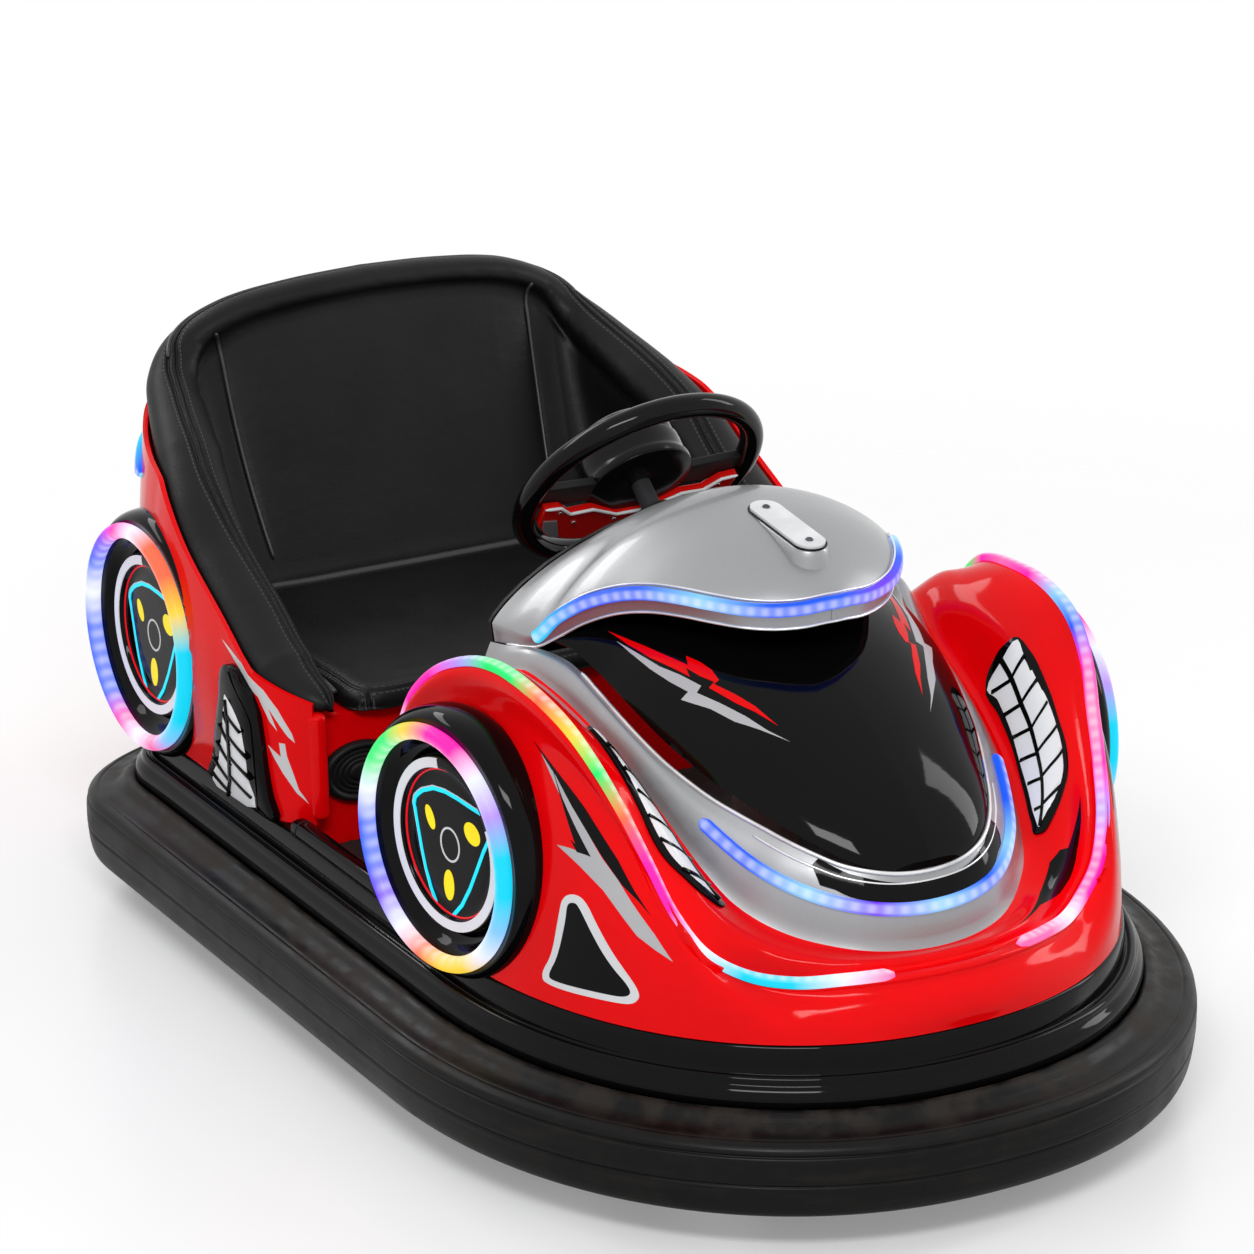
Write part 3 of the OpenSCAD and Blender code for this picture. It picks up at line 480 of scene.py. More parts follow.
bumperRubber = rubberPaint("bumperRubber", low=0.124, high=0.133)
blackGloss = glossPaint("blackGloss", (0.002, 0.002, 0.0022), 0.02, 0.025, ior=1.22)
redGloss = glossPaint("redGloss", (0.93, 0.001, 0.003), 0.05, 0.03, ior=1.2)
silverGloss = silverPaint("silverGloss")
blackPlastic = matPaint("blackPlastic", (0.006, 0.006, 0.0065), 0.42)
seatLeather = leatherPaint("blackLeather")
piping = glossPaint("piping", (0.03, 0.03, 0.032), 0.25, 0.05, ior=1.45)
frameCoat = matPaint("frameCoat", (0.02, 0.02, 0.022), 0.45, 300.0)
brightTrim = metalPaint("brightTrim", (0.86, 0.86, 0.88), 0.12, 0.6)
darkScrew = metalPaint("darkScrew", (0.09, 0.09, 0.1), 0.3)
steel = metalPaint("turnedSteel", (0.55, 0.55, 0.56), 0.25)
castMetal = metalPaint("castMetal", (0.42, 0.42, 0.43), 0.42)
wheelRubber = rubberPaint("wheelRubber", 0.02, (0.08, 0.075, 0.07))
batteryCase = matPaint("batteryCase", (0.018, 0.02, 0.024), 0.42)
whitePlate = matPaint("whitePlate", (0.72, 0.73, 0.75), 0.3, 1200.0)
whiteGloss = glossPaint("whiteGloss", (0.8, 0.81, 0.83), 0.15, 0.03)
chrome = metalPaint("chrome", (0.8, 0.8, 0.82), 0.08)
lensWhite = glossPaint("lensWhite", (0.8, 0.81, 0.83), 0.1, 0.02, 0.12)
flashSilver = glossPaint("flashSilver", (0.5, 0.5, 0.52), 0.2, 0.03)
flashWhite = glossPaint("flashWhite", (0.72, 0.72, 0.73), 0.2, 0.03)
# painted light: the pale band, red line, cyan triangle and yellow ovals of the pod faces glow in their own
# colour, standing in for the light of the ring lamps falling on them
paleBandPaintedGlow = glossPaint("paleBandPaintedLight", (0.66, 0.66, 0.72), 0.12, 0.02, 0.35)
redLine = glossPaint("redLine", (0.9, 0.01, 0.02), 0.2, 0.02, 0.4)
cyanPaintedGlow = glossPaint("cyanPaintedGlow", (0.0, 0.68, 0.92), 0.2, 0.02, 0.6)
yellowPaintedGlow = glossPaint("yellowPaintedGlow", (0.95, 0.76, 0.0), 0.2, 0.02, 0.35)
drumPlastic = glossPaint("drumPlastic", (0.0035, 0.0035, 0.004), 0.14, 0.05, ior=1.28)
rimGloss = glossPaint("rimGloss", (0.002, 0.002, 0.0022), 0.04, 0.03, ior=1.26)
wheelRed = glossPaint("wheelRed", (0.7, 0.006, 0.004), 0.14, 0.04, ior=1.35)
greyInsert = matPaint("greyInsert", (0.16, 0.16, 0.165), 0.35)
matRubber = matPaint("matRubber", (0.012, 0.012, 0.012), 0.55, 500.0)
cadPaints = [
             (blackPlastic,
              "floor_pan cowl_chin dash_panel speaker_covers column_tube steering_hub pod_faces"),
             (frameCoat, "chassis_frame steering_shaft steering_fork rear_brackets steering_bridge"),
             (castMetal, "steering_box drive_motor rear_hub_left rear_hub_right"),
             (wheelRubber, "drive_tyre rear_tyre_left rear_tyre_right"),
             (blackGloss, "steering_rim pod_tyres"), (redGloss, "seat_box steering_spokes"),
             (whitePlate, "cowl_plate"), (batteryCase, "battery"), (steel, "pedal")]
for paint, names in cadPaints:
    for name in names.split():
        slots = bpy.data.objects[name].data.materials
        slots.clear()
        slots.append(paint.material)
print("materials made")

# Bumper section as inset and height in millimetres: two bands with a groove, a worn ridge, a hollow top and a
#   second worn ridge
bumper = {"section": [(57, 45), (34, 45), (16, 45), (11, 46), (7, 50), (4, 58), (2.2, 68), (1.2, 78),
                      (1.0, 81.4), (2.8, 82.6), (2.8, 83.4), (0.9, 84.6), (0.3, 90), (0.1, 100), (0.3, 109),
                      (1.0, 113), (3.4, 114.4), (3.6, 115.2), (1.9, 116.6), (2.6, 120.5), (5, 123.5),
                      (9.5, 126.2), (13.5, 127.2), (14.6, 126.4), (15.6, 127.0), (22, 127.8), (31, 129.8),
                      (38, 133.4), (42.5, 137.6), (46.5, 140.6), (51, 142), (55, 141.6), (57.5, 139),
                      (59, 135), (66, 133), (68.7, 132), (69, 120), (69, 60), (66, 52), (57, 45)]}
bumperRing = planRing(refine(bumper["section"], 2)[:-1])
surface("bumperRing", bumperRing[:, ::-1], bumperRubber, replaces=["bumper_tyre"], slot="bumper_rubber",
        closeU=True, closeV=True)

# Tray section: foot, step, round bead, hollow and the ledge under the shells
tray = {"section": [(58, 139.4), (57, 146), (57.2, 152), (59, 157.5), (62.5, 161.5), (64.5, 164),
                    (64.8, 167), (67, 170.5), (70.5, 171.5), (73.5, 169.8), (75.5, 168.6), (77, 172),
                    (77.6, 182), (78.6, 192), (80, 197.5), (83, 199.4), (100.6, 199.4), (101, 199),
                    (101, 153), (100.4, 152.4), (95.4, 152.4), (95, 153), (95, 192), (94, 193), (86, 193),
                    (85, 192), (80.5, 160), (71, 153.4), (61, 143.6), (60, 140)]}
trayRing = planRing(refine(tray["section"] + tray["section"][:1], 2)[:-1])
surface("trayRing", trayRing[:, ::-1], blackGloss, replaces=["base_tray"], slot="black_gloss", closeU=True,
        closeV=True)
print("bumper and tray made")

# Front stations in millimetres: crest, edge of the red, edge of the panel, then the lower edge as a plan
#   angle, or y on the straight side
front = {"rows": [((340, -54, 392), (262, -54, 405), (238, -60, 472), (0, -54)),
                  ((342, -92, 446), (252, -95, 446), (236, -96, 479), (0, -92)),
                  ((334, -132, 482), (242, -135, 466), (224, -132, 486), (0, -132)),
                  ((322, -178, 502), (230, -178, 456), (206, -172, 480), (0, -178)),
                  ((317, -222, 509), (219, -218, 439), (196, -216, 459), (8, 0)),
                  ((317, -266, 509), (215, -254, 426), (193, -253, 445), (16, 0)),
                  ((315, -310, 502), (211, -292, 411), (189, -290, 431), (23, 0)),
                  ((310, -350, 487), (207, -330, 392), (182, -327, 416), (30, 0)),
                  ((300, -390, 455), (202, -366, 371), (172, -362, 403), (37, 0)),
                  ((288, -420, 416), (196, -397, 349), (162, -392, 393), (43, 0)),
                  ((276, -452, 369), (188, -427, 327), (149, -420, 384), (49, 0)),
                  ((262, -482, 319), (177, -455, 307), (136, -446, 376), (55, 0)),
                  ((238, -507, 279), (160, -485, 292), (121, -474, 367), (61, 0)),
                  ((205, -528, 258), (137, -511, 281), (105, -498, 359), (67, 0)),
                  ((166, -556, 252), (111, -536, 275), (87, -518, 351), (73, 0)),
                  ((122, -582, 256), (83, -556, 271), (66, -534, 346), (79, 0)),
                  ((75, -602, 260), (50, -569, 268), (41, -545, 342), (84, 0)),
                  ((0, -613, 262), (0, -575, 266), (0, -550, 340), (90, 0))], "wall": 0.006, "foot": 200.0,
         "sag": 6, "inside": 0.12,
         "crownY": [-551, -540, -500, -440, -380, -320, -250, -118],
         "crownZ": [342, 358, 400, 445, 482, 512, 535, 545]}


# Height of the crown line at y, read off its smooth curve
def crownAt(y):
    line = refine(np.stack([front["crownY"], front["crownZ"]], -1), 8)
    return np.interp(y, line[:, 0], line[:, 1])


# Control grid of the front: 18 stations by 13 points, from the panel's edge over the surround, the slope
#   and the crest down to the lower edge
def frontControl():
    rows = front["rows"]
    crest, red, panel = (np.array([r[k] for r in rows], float) for k in range(3))
    angle = np.radians([r[3][0] for r in rows])
    foot = np.full((len(rows), 1), front["foot"])
    low = np.concatenate([planEnd("nose", carPlan["shellInset"], angle), foot], 1)
    low[:4, 1] = [r[3][1] for r in rows[:4]]
    low[-1, 0] = 0
    out = unit((low - red) * [1, 1, 0])
    up, slope = np.array([0, 0, 1.0]), np.linalg.norm(crest - red, axis=-1, keepdims=True)
    # first column: a little inside the panel's edge, on the panel's own arch
    f = front["inside"]
    inside = panel * [1 - f, 1, 1] - [0, front["sag"] * f, 0]
    crown = np.maximum(crownAt(panel[:, 1]), panel[:, 2]) - panel[:, 2]
    inside[:, 2] += crown * math.sqrt(1 - (1 - f) ** 2)
    side = lambda f, bulge: low + (crest - low) * f + out * bulge * math.sin(math.pi * f)
    columns = [inside, panel, (red + panel * 2) / 3 + [0, -3, 5], (red * 2 + panel) / 3 + [0, -3, 4], red,
               (crest + red) / 2 + up * 0.08 * slope, crest - out * 16 - up * 3, crest,
               crest + out * 6 - up * 3, side(0.88, 8), side(0.6, 10), side(0.3, 10), low]
    return np.stack(columns, 1) / 1000


# Wheel pods: x and z of a pod's middle in millimetres, its y in metres against its toe angle; then the
#   recess round it in metres: radius, width of its soft edge, and x of its floor
podPlan = {"x": 387, "z": 322, "toe": {-0.212: 6.7, 0.512: 0.0}, "recess": 0.134, "edge": 0.012,
           "floor": 0.318}


# Pushes a shell in behind each pod: none at the recess's radius, full depth inside its soft edge
def podRecess(grid):
    for sign in (1, -1):
        for y in podPlan["toe"]:
            away = np.hypot(grid[..., 1] - y, grid[..., 2] - podPlan["z"] / 1000)
            f = np.clip((podPlan["recess"] - away) / podPlan["edge"], 0, 1)
            f = f * f * (3 - 2 * f) * (grid[..., 0] * sign > 0.25)
            grid[..., 0] += f * (sign * np.minimum(podPlan["floor"], np.abs(grid[..., 0])) - grid[..., 0])
    return grid


columnFine = [2, 4, 4, 4, 8, 8, 4, 3, 6, 14, 14, 14]
fine = refineBoth(bothSides(frontControl()), 10, columnFine)
start = np.concatenate([[0], np.cumsum(columnFine)])
fine[..., 0][np.abs(fine[..., 0]) < 1e-9] = 0
redGrid = podRecess(fine[:, start[4]:].copy())
shell("frontShell", redGrid, front["wall"], redGloss, replaces=["front_body"], slot="red_shell")
surroundGrid = fine[:, start[1]:start[4] + 1]
shell("noseSurround", surroundGrid, front["wall"], silverGloss, replaces=["nose_surround"],
      slot="silver_shell")


# Bonnet panel: each section is half an ellipse from the panel's edge to the crown line
def panelArch(first, last):
    edge = refine([r[2] for r in front["rows"]][first:last], 10)
    x, y, z = edge.T[..., None]
    turn = np.radians(np.linspace(12, 168, 79))[None, :]
    crown = np.maximum(crownAt(edge[:, 1]), edge[:, 2])[:, None]
    sag = front["sag"] * (1 - np.abs(np.cos(turn)))
    return np.stack([-x * np.cos(turn), y - sag, z + (crown - z) * np.sin(turn)], -1) / 1000


panelGrid = panelArch(3, 17)
shell("bonnetPanel", panelGrid, front["wall"], blackGloss, replaces=["bonnet_panel"], slot="black_gloss")
# the panel runs on under the cowl
shell("panelApron", panelArch(1, 4), front["wall"] / 2, blackGloss, slot="black_gloss")

# Cowl sections: y, half width, lower edge, light line and crown heights; over the light line each section
#   is x = half * sin(t), z = light + (crown - light) * cos(t)^1.6
cowl = {"rows": [(-64, 238, 473, 494, 588), (-96, 236, 480, 497, 611), (-132, 225, 487, 499, 625),
                 (-152, 211, 501, 524, 629), (-176, 191, 521, 545, 631), (-206, 169, 537, 560, 630),
                 (-240, 150, 546, 569, 626), (-274, 132, 549, 572, 618), (-304, 112, 548, 571, 608),
                 (-330, 88, 546, 569, 597), (-348, 60, 545, 568, 588), (-360, 34, 547, 570, 581),
                 (-365, 14, 549.5, 572.5, 578), (-366.5, 5, 550, 573, 577), (-367, 0.3, 550, 573, 576.8)]}
cowlFine = refine(cowl["rows"], 8)
cowlY, cowlHalf, cowlLow, cowlLight, cowlTop = cowlFine.T[..., None]
t = np.radians(np.linspace(-90, 90, 81))[None, :]
arch = cowlLight + (cowlTop - cowlLight) * np.cos(t).clip(0) ** 1.6
top = np.stack([cowlHalf * np.sin(t), cowlY + 0 * t, arch], -1)


# Column of the cowl's skirt, a share f of the way from the light line down to the lower edge
def skirt(side, f):
    x = side * np.maximum(cowlHalf - 3 * f, 0.1)
    return np.stack([x, cowlY, cowlLight + (cowlLow - cowlLight) * f], -1)


cowlColumns = [skirt(-1, f) for f in (1, 0.7, 0.35)] + [top] + [skirt(1, f) for f in (0.35, 0.7, 1)]
cowlGrid = np.concatenate(cowlColumns, 1) / 1000
shell("cowlShell", cowlGrid, front["wall"], silverGloss, replaces=["cowl"], slot="silver_shell")
print("front shells made")

# Padded roll: points from the front of the seat side to the middle of the back, in millimetres
roll = {"path": [(316, 168, 336), (333, 240, 356), (333, 324, 400), (330, 408, 442), (323, 473, 484),
                 (306, 536, 518), (288, 602, 548), (270, 654, 575), (238, 680, 608), (180, 683, 634),
                 (96, 683, 646), (0, 683, 650)],
        "shareAt": [0, 1, 2, 4, 6, 8, 10, 12, 14, 16, 18, 20, 22],
        "share": [0.3, 0.66, 1, 1, 1, 1, 1, 0.88, 0.76, 0.66, 0.62, 0.6, 0.6], "half": 39.0, "radius": 28.0,
        "side": [(335, 168), (364, 200), (369, 320), (369, 405), (369, 458)], "gap": 9.5, "bulge": 12}


# Uniform cubic curve through table rows, as the part's source draws it; t counts rows
def tableCurve(rows, t):
    rows, t = np.asarray(rows, float), np.asarray(t, float)
    i = np.clip(np.floor(t).astype(int), 0, len(rows) - 2)
    f = (t - i)[:, None]
    at = lambda k: rows[np.clip(k, 0, len(rows) - 1)]
    p0, p1, p2, p3 = at(i - 1), at(i), at(i + 1), at(i + 2)
    return 0.5 * (2 * p1 + (p2 - p0) * f + (2 * p0 - 5 * p1 + 4 * p2 - p3) * f**2
                  + (3 * p1 - p0 - 3 * p2 + p3) * f**3)


# Rear shell rows over k, half rows of the roll's table: from the ledge up to beside the roll, bulged
#   outwards by half a sine wave; towards the back the upper edge slips under the roll
def rearRows(k, f):
    t = k / 2
    c = tableCurve(roll["path"], t)
    tail = planEnd("tail", carPlan["shellInset"], np.radians(((t - 4) * 90 / 7).clip(0, 90)))
    low = np.where((t <= 4)[:, None], tableCurve(roll["side"], t.clip(0, 4)), tail)
    x = np.maximum(low[:, 0], 1) * 1.2 - c[:, 0] * 0.7
    out = unit(np.stack([x, np.where(k < 9, 0, (low[:, 1] - 430) * (k - 8) / 6), 0 * k], -1))
    turn = np.radians(np.interp(k, [9, 15], [20, -58]))[:, None]
    share = (np.interp(k, roll["shareAt"], roll["share"]) + 0.12 * (1 - np.abs(k - 1) / 2).clip(0))[:, None]
    wide, high = share * roll["half"] + roll["gap"], share * roll["radius"] + roll["gap"]
    head = c + out * wide * np.cos(turn) + [0, 0, 1] * high * np.sin(turn)
    foot = np.concatenate([low, np.full((len(k), 1), front["foot"])], 1)
    f = f[None, :, None]
    bulge = roll["bulge"] * (k / 4).clip(0, 1)[:, None, None] * np.sin(np.pi * f)
    return (foot[:, None] + (head - foot)[:, None] * f + out[:, None] * bulge) / 1000, out


rearGrid = rearRows(np.linspace(0, 22, 133), np.linspace(0, 1, 61))[0]
rearGrid[-1, :, 0] = 0
rearWhole = podRecess(bothSides(rearGrid))
shell("rearShell", rearWhole, front["wall"], redGloss, replaces=["rear_body"], slot="red_shell")
print("rear shell made")


# Light strips on a shell, in millimetres: half width, height and lift of their low rounded section
stripPlan = {"half": 7.0, "height": 6.5, "lift": 1.0}


# Strip on a surface: the section carried along points, standing on the surface's outward directions
def strip(name, points, normals, paint, node):
    ahead = unit(np.gradient(points, axis=0))
    side = unit(np.cross(ahead, normals))
    up = unit(np.cross(side, ahead))
    a = np.linspace(0, np.pi, 15)
    across = np.append(np.sign(np.cos(a)) * np.abs(np.cos(a)) ** 0.7, [-1, 1]) * stripPlan["half"]
    above = np.append(stripPlan["lift"] + np.abs(np.sin(a)) ** 0.75 * stripPlan["height"], [-1, -1])
    taper = np.minimum(1, endSteps(len(points)) / 3 + 0.45)[:, None, None]
    section = (side[:, None] * across[:, None] + up[:, None] * above[:, None]) / 1000
    u = lengths(points)
    uvs = (u / u[-1], np.append(np.linspace(0, 1, 15), [1.0, 0.0, 0.0]))
    grid = points[:, None] + section * taper
    return surface(name, grid, paint, closeV=True, caps=True, uvs=uvs, replaces=[node], slot="light_strip")


# Colours of the small lamps, read as a short list along each strip
white, ice, cyan, blue = (0.78, 0.82, 1.0), (0.22, 0.55, 1.0), (0.0, 0.62, 0.85), (0.0, 0.09, 1.0)
violet, lilac, magenta, pink = (0.14, 0.02, 1.0), (0.45, 0.28, 1.0), (1.0, 0.01, 0.42), (1.0, 0.14, 0.42)
salmon, yellow, green = (1.0, 0.15, 0.07), (0.95, 0.62, 0.05), (0.0, 0.8, 0.16)


# Ramp stops at equal distances
def even(*colors):
    return [(k / (len(colors) - 1), c) for k, c in enumerate(colors)]


lights = {"fenderLeft": even(white, magenta, magenta, lilac, green, green, salmon, yellow, green, salmon,
                             magenta, magenta, white, cyan, cyan, white, pink),
          "fenderRight": even(green, green, green, magenta, pink, magenta, ice, blue, magenta, pink,
                              magenta, lilac, magenta, magenta, white, pink, pink),
          "cowl": even(cyan, blue, blue, ice, blue, blue, violet, blue, ice, blue, blue),
          "surround": even(blue, blue, ice, blue, ice, violet, ice, blue, blue),
          "rearCorner": even(blue, cyan, blue),
          "frontRing": even(magenta, yellow, green, green, white, blue, blue, violet, white, salmon, yellow,
                            yellow, white, ice, cyan, cyan, lilac, white, magenta, magenta),
          "rearRing": even(white, magenta, violet, blue, white, blue, blue, blue, magenta, white, pink, ice,
                           cyan, cyan, cyan, yellow, salmon, salmon, white)}
normals = facing(fine)


# Lifts a line on a shell clear of it: by the largest height over its own tangent plane of the shell's points
#   within reach
def lifted(points, up, grid, reach=0.0085):
    away = grid.reshape(-1, 3)[None] - points[:, None]
    near = np.linalg.norm(away, axis=-1) < reach
    rise = np.where(near, (away * up[:, None]).sum(-1), 0).max(1)
    rise = np.convolve(np.pad(rise, 4, mode="edge"), np.ones(9) / 9, mode="valid")
    return points + up * rise[:, None]


# Line round the cowl through an x and a height at each row from the first on, over both sides
def cowlLine(x, z, first):
    line = np.concatenate([x, cowlY, z], 1)[first:] / 1000
    return np.concatenate([line, mirrored(line[::-1])])


crest, crestUp = fine[:161, start[7]], normals[:161, start[7]]
crest = lifted(crest, crestUp, fine[:171, start[4]:])
for side, sign in (("Left", -1), ("Right", 1)):
    paint = lightPaint("fenderGlow" + side, lights["fender" + side], 62)
    strip("fenderLight" + side, crest * [sign, 1, 1], crestUp * [sign, 1, 1], paint, "fender_lights")
line = refine(cowlLine(cowlHalf, cowlLight - 2, 16), 2)
up = unit(np.cross([0, 0, 1.0], np.gradient(line, axis=0)))
strip("cowlLight", line[::-1], up[::-1], lightPaint("cowlGlow", lights["cowl"], 52), "cowl_light")
middle = np.s_[90:251, (start[2] + start[3]) // 2]
surroundPaint = lightPaint("surroundGlow", lights["surround"], 34)
strip("surroundLight", fine[middle], normals[middle], surroundPaint, "surround_light")
corner = np.s_[66:103, 53]
rearPaint = lightPaint("rearGlow", lights["rearCorner"], 16)
for side, sign in (("Right", 1), ("Left", -1)):
    line, up = rearWhole[corner] * [sign, 1, 1], facing(rearWhole)[corner] * [sign, 1, 1]
    strip("rearLight" + side, line, up, rearPaint, "rear_lights")
print("light strips made")


# From a pod's frame (depth, across, up) to the car; across grows towards the back on both sides
def atPod(grid, place):
    sign, y = place
    toe = math.radians(podPlan["toe"][y])
    c, s = math.cos(toe), math.sin(toe)
    depth, across, up = grid[..., 0], grid[..., 1], grid[..., 2]
    x, back = podPlan["x"] + depth * c + across * s, y * 1000 - depth * s + across * c
    return np.stack([sign * x, back, podPlan["z"] + up], -1) / 1000


# A profile of (radius, depth) turned about the pod's axis, with its faces outwards on both sides
def podTurn(profile, place, steps=144):
    up, across, depth = turned(profile, steps)
    grid = atPod(np.stack([depth, across, up], -1), place)
    return grid[:, ::-1] if place[0] > 0 else grid


pod = {
    "tyre": [(0.5, -54), (97, -54), (98.5, -52), (98.5, -27), (100, -24), (106, -21), (112, -14), (116, -10),
             (119, -9.2), (121, -9), (132, -6.5), (136, -5), (140, -8), (143, -13), (145, -20), (146, -30),
             (145.8, -40), (143.5, -50), (139, -57), (132, -60), (0.5, -60)],
    "ring": 124.0, "tube": 9.0, "ringDepth": 1.8,
    "face": [(0.5, -19.2), (60, -19.2), (78, -19.2), (80.2, -18), (81.6, -13.6), (83.5, -12.2), (88, -11.8),
             (92.5, -12.2), (94.4, -14), (95.6, -17.4), (97, -23.6), (0.5, -23.6)]}
tyreProfile, faceProfile = refine(pod["tyre"], 3), refine(pod["face"], 3)
a = np.linspace(0, 2 * np.pi, 25)[:-1]
ringProfile = [pod["ring"], pod["ringDepth"]] + pod["tube"] * np.stack([np.cos(a), np.sin(a)], -1)


def podName(place):
    return ("Left" if place[0] > 0 else "Right") + ("Front" if place[1] < 0 else "Rear")


places = [(sign, y) for sign in (-1, 1) for y in podPlan["toe"]]
for place in places:
    tag = podName(place)
    tyre, face = podTurn(tyreProfile, place), podTurn(faceProfile, place)
    ring = podTurn(ringProfile, place, 192)
    surface("podTyre" + tag, tyre, blackGloss, closeU=True, replaces=["pod_tyres"], slot="black_gloss")
    glow = lightPaint("ringGlow" + tag, lights["frontRing" if place[1] < 0 else "rearRing"], 46)
    surface("podRing" + tag, ring, glow, closeU=True, closeV=True, replaces=["pod_rings"], slot="light_strip")
    surface("podFace" + tag, face, blackGloss, closeU=True, replaces=["pod_faces"], slot="black_matt")
print("wheel pods made")


# A round tube along points, closed at both ends
def tube(name, line, radius, material, sides=10, **more):
    ahead = unit(np.gradient(line, axis=0))
    side = unit(np.cross(ahead, (0.31, 0.17, 0.93)))
    up = np.cross(ahead, side)
    a = np.linspace(0, 2 * np.pi, sides, endpoint=False)[None, :, None]
    taper = np.sqrt(1 - (1 - np.minimum(1, (endSteps(len(line)) + 0.3) / 3)) ** 2)[:, None, None]
    grid = line[:, None] + radius * taper * (np.cos(a) * side[:, None] + np.sin(a) * up[:, None])
    return surface(name, grid[:, ::-1], material, closeV=True, caps=True, **more)


# Second UV map: length along a seam and distance from it, both in millimetres
def seamMap(obj, values):
    mesh = obj.data
    corners = np.empty(len(mesh.loops), int)
    mesh.loops.foreach_get("vertex_index", corners)
    layer = mesh.uv_layers.new(name="seam")
    layer.data.foreach_set("uv", values.reshape(-1, 2)[corners].ravel())


clothPlan = {"quality": 4, "mass": 0.3, "tension_stiffness": 12, "compression_stiffness": 12,
             "shear_stiffness": 6, "bending_stiffness": 0.6, "use_pressure": True,
             "vertex_group_mass": "hold", "pin_stiffness": 2}


# Swells a closed grid by cloth simulation: points with hold 1 stay, the others move by less than the
#   limit, as limit * tanh(move / limit); returns the new grid
def swelled(grid, faces, hold, plan):
    points, hold = grid.reshape(-1, 3), np.round(hold, 1).ravel()
    mesh = bpy.data.meshes.new("swell")
    mesh.from_pydata(points.tolist(), [], faces.tolist())
    obj = bpy.data.objects.new("swell", mesh)
    scene.collection.objects.link(obj)
    group = obj.vertex_groups.new(name="hold")
    for level in np.unique(hold):
        group.add(np.flatnonzero(hold == level).tolist(), float(level), "REPLACE")
    cloth = obj.modifiers.new("cloth", "CLOTH").settings
    for key, value in clothPlan.items():
        setattr(cloth, key, value)
    cloth.uniform_pressure_force = plan["pressure"]
    cloth.effector_weights.gravity = 0
    for step in range(1, 21):
        scene.frame_set(step)
    shaped = obj.evaluated_get(bpy.context.evaluated_depsgraph_get()).data
    out = np.empty(len(points) * 3)
    shaped.vertices.foreach_get("co", out)
    scene.frame_set(1)
    bpy.data.objects.remove(obj)
    move = np.nan_to_num(out.reshape(-1, 3) - points)
    far = np.linalg.norm(move, axis=1, keepdims=True).clip(1e-9)
    return (points + move / far * plan["limit"] * np.tanh(far / plan["limit"])).reshape(grid.shape)


# Seat shell: bolster, side wings and back in one closed form. seam gives k, half rows of the roll's table,
#   against the angle of the double seam round the bolster; piping is the k of the line between wing and back
seat = {"seam": [(0, 92), (0.8, 100), (2, 110), (3.4, 114), (5.3, 110), (8.2, 97), (10.8, 88), (14.8, 82),
                 (16.8, 57), (19, 50), (22, 48)], "piping": 17.0, "puff": 7.0, "limit": 0.006,
        "pressure": 4.0, "wall": 17.0, "wrinkle": 0.9, "inside": 0.985, "double": 9.0, "groove": 1.7}
seatArc = np.linspace(-62, 212, 30)


# Sections of the seat shell over k, in millimetres: the bolster's arc, the inside wall and the wall behind
def seatSections(k):
    c = tableCurve(roll["path"], k / 2)
    out = rearRows(k, np.zeros(1))[1]
    nose = np.sqrt(1 - (1 - np.minimum(1, (k + 0.03) / 0.8)) ** 2)
    share = (np.interp(k, roll["shareAt"], roll["share"]) * nose)[:, None]
    ahead = unit(np.gradient(c, axis=0))
    ahead[-1] = (-1, 0, 0)
    side = unit(np.cross(ahead, (0, 0, 1)))
    lift = np.cross(side, ahead)
    a = np.radians(seatArc)[None, :, None]
    wide, high = roll["half"] * seat["inside"] * np.cos(a), roll["radius"] * seat["inside"] * np.sin(a)
    arc = c[:, None] + share[:, None] * (wide * side[:, None] + high * lift[:, None])
    top = c + share * (-out * 31 + np.array([0, 0, -26]))
    back = np.maximum(190, np.minimum(c[:, 1] - 55, 548))
    low = np.stack([np.minimum(284, c[:, 0] * 0.87), back, np.full(len(k), 337.0)], -1)
    deep = np.clip((k - 1.2) / 3.2, 0, 1)[:, None]
    tip = np.minimum(1, k / 1.2)[:, None]
    low = top + (low - top) * (deep * deep * (3 - 2 * deep)) * seat["inside"] + tip * [0, 0, -4]
    f = np.linspace(0.08, 1, 16)[None, :, None]
    # panel swell: none at the seams, half a sine down the wall times the distance to the piping line
    near = np.minimum(1, np.abs(k - seat["piping"]) / 1.5) * np.minimum(1, k / 3.0)
    swell = (near ** 0.6)[:, None, None] * np.sin(np.pi * f ** 0.8) * seat["puff"]
    inward = (10 * np.sin(np.pi * f) - swell) * deep[:, None]
    wall = top[:, None] + (low - top)[:, None] * f + out[:, None] * inward
    thick = (seat["wall"] + swell[:, ::-2]) * (0.35 + 0.65 * deep[:, None])
    behind = wall[:, ::-2] + tip[:, None] * (out[:, None] * thick + [0, 0, -2])
    return np.concatenate([arc, wall, behind], 1)


seatK = np.concatenate([[0, 0.1, 0.25, 0.45, 0.7], np.linspace(1, 22, 85)])
half = seatSections(seatK)
half[-1, :, 0] = 0
coarse = bothSides(half) / 1000
kAll = np.concatenate([seatK, seatK[-2::-1]])
hold = np.ones(coarse.shape[:2])
hold[:, 2:45] = 0.0
hold[:, 2:6] = [0.8, 0.6, 0.4, 0.2]
hold[np.abs(kAll - seat["piping"]) < 0.13, 30:45] = 0.9
hold[:3] = hold[-3:] = 1
grown = swelled(coarse, gridFaces(*hold.shape, closeV=True)[2], hold, seat)
seatGrid = refineBoth(np.concatenate([grown, grown[:, :1]], 1), 3, 3)[:, :-1]
kFine = refine(kAll[:, None], 3)[:, 0]
angle = np.radians(np.interp(np.arange(seatGrid.shape[1]) / 3, np.arange(30), seatArc))
seamAngle = np.radians(np.interp(kFine, *np.array(seat["seam"], float).T))
shareFine = np.interp(kFine, roll["shareAt"], roll["share"])[:, None]
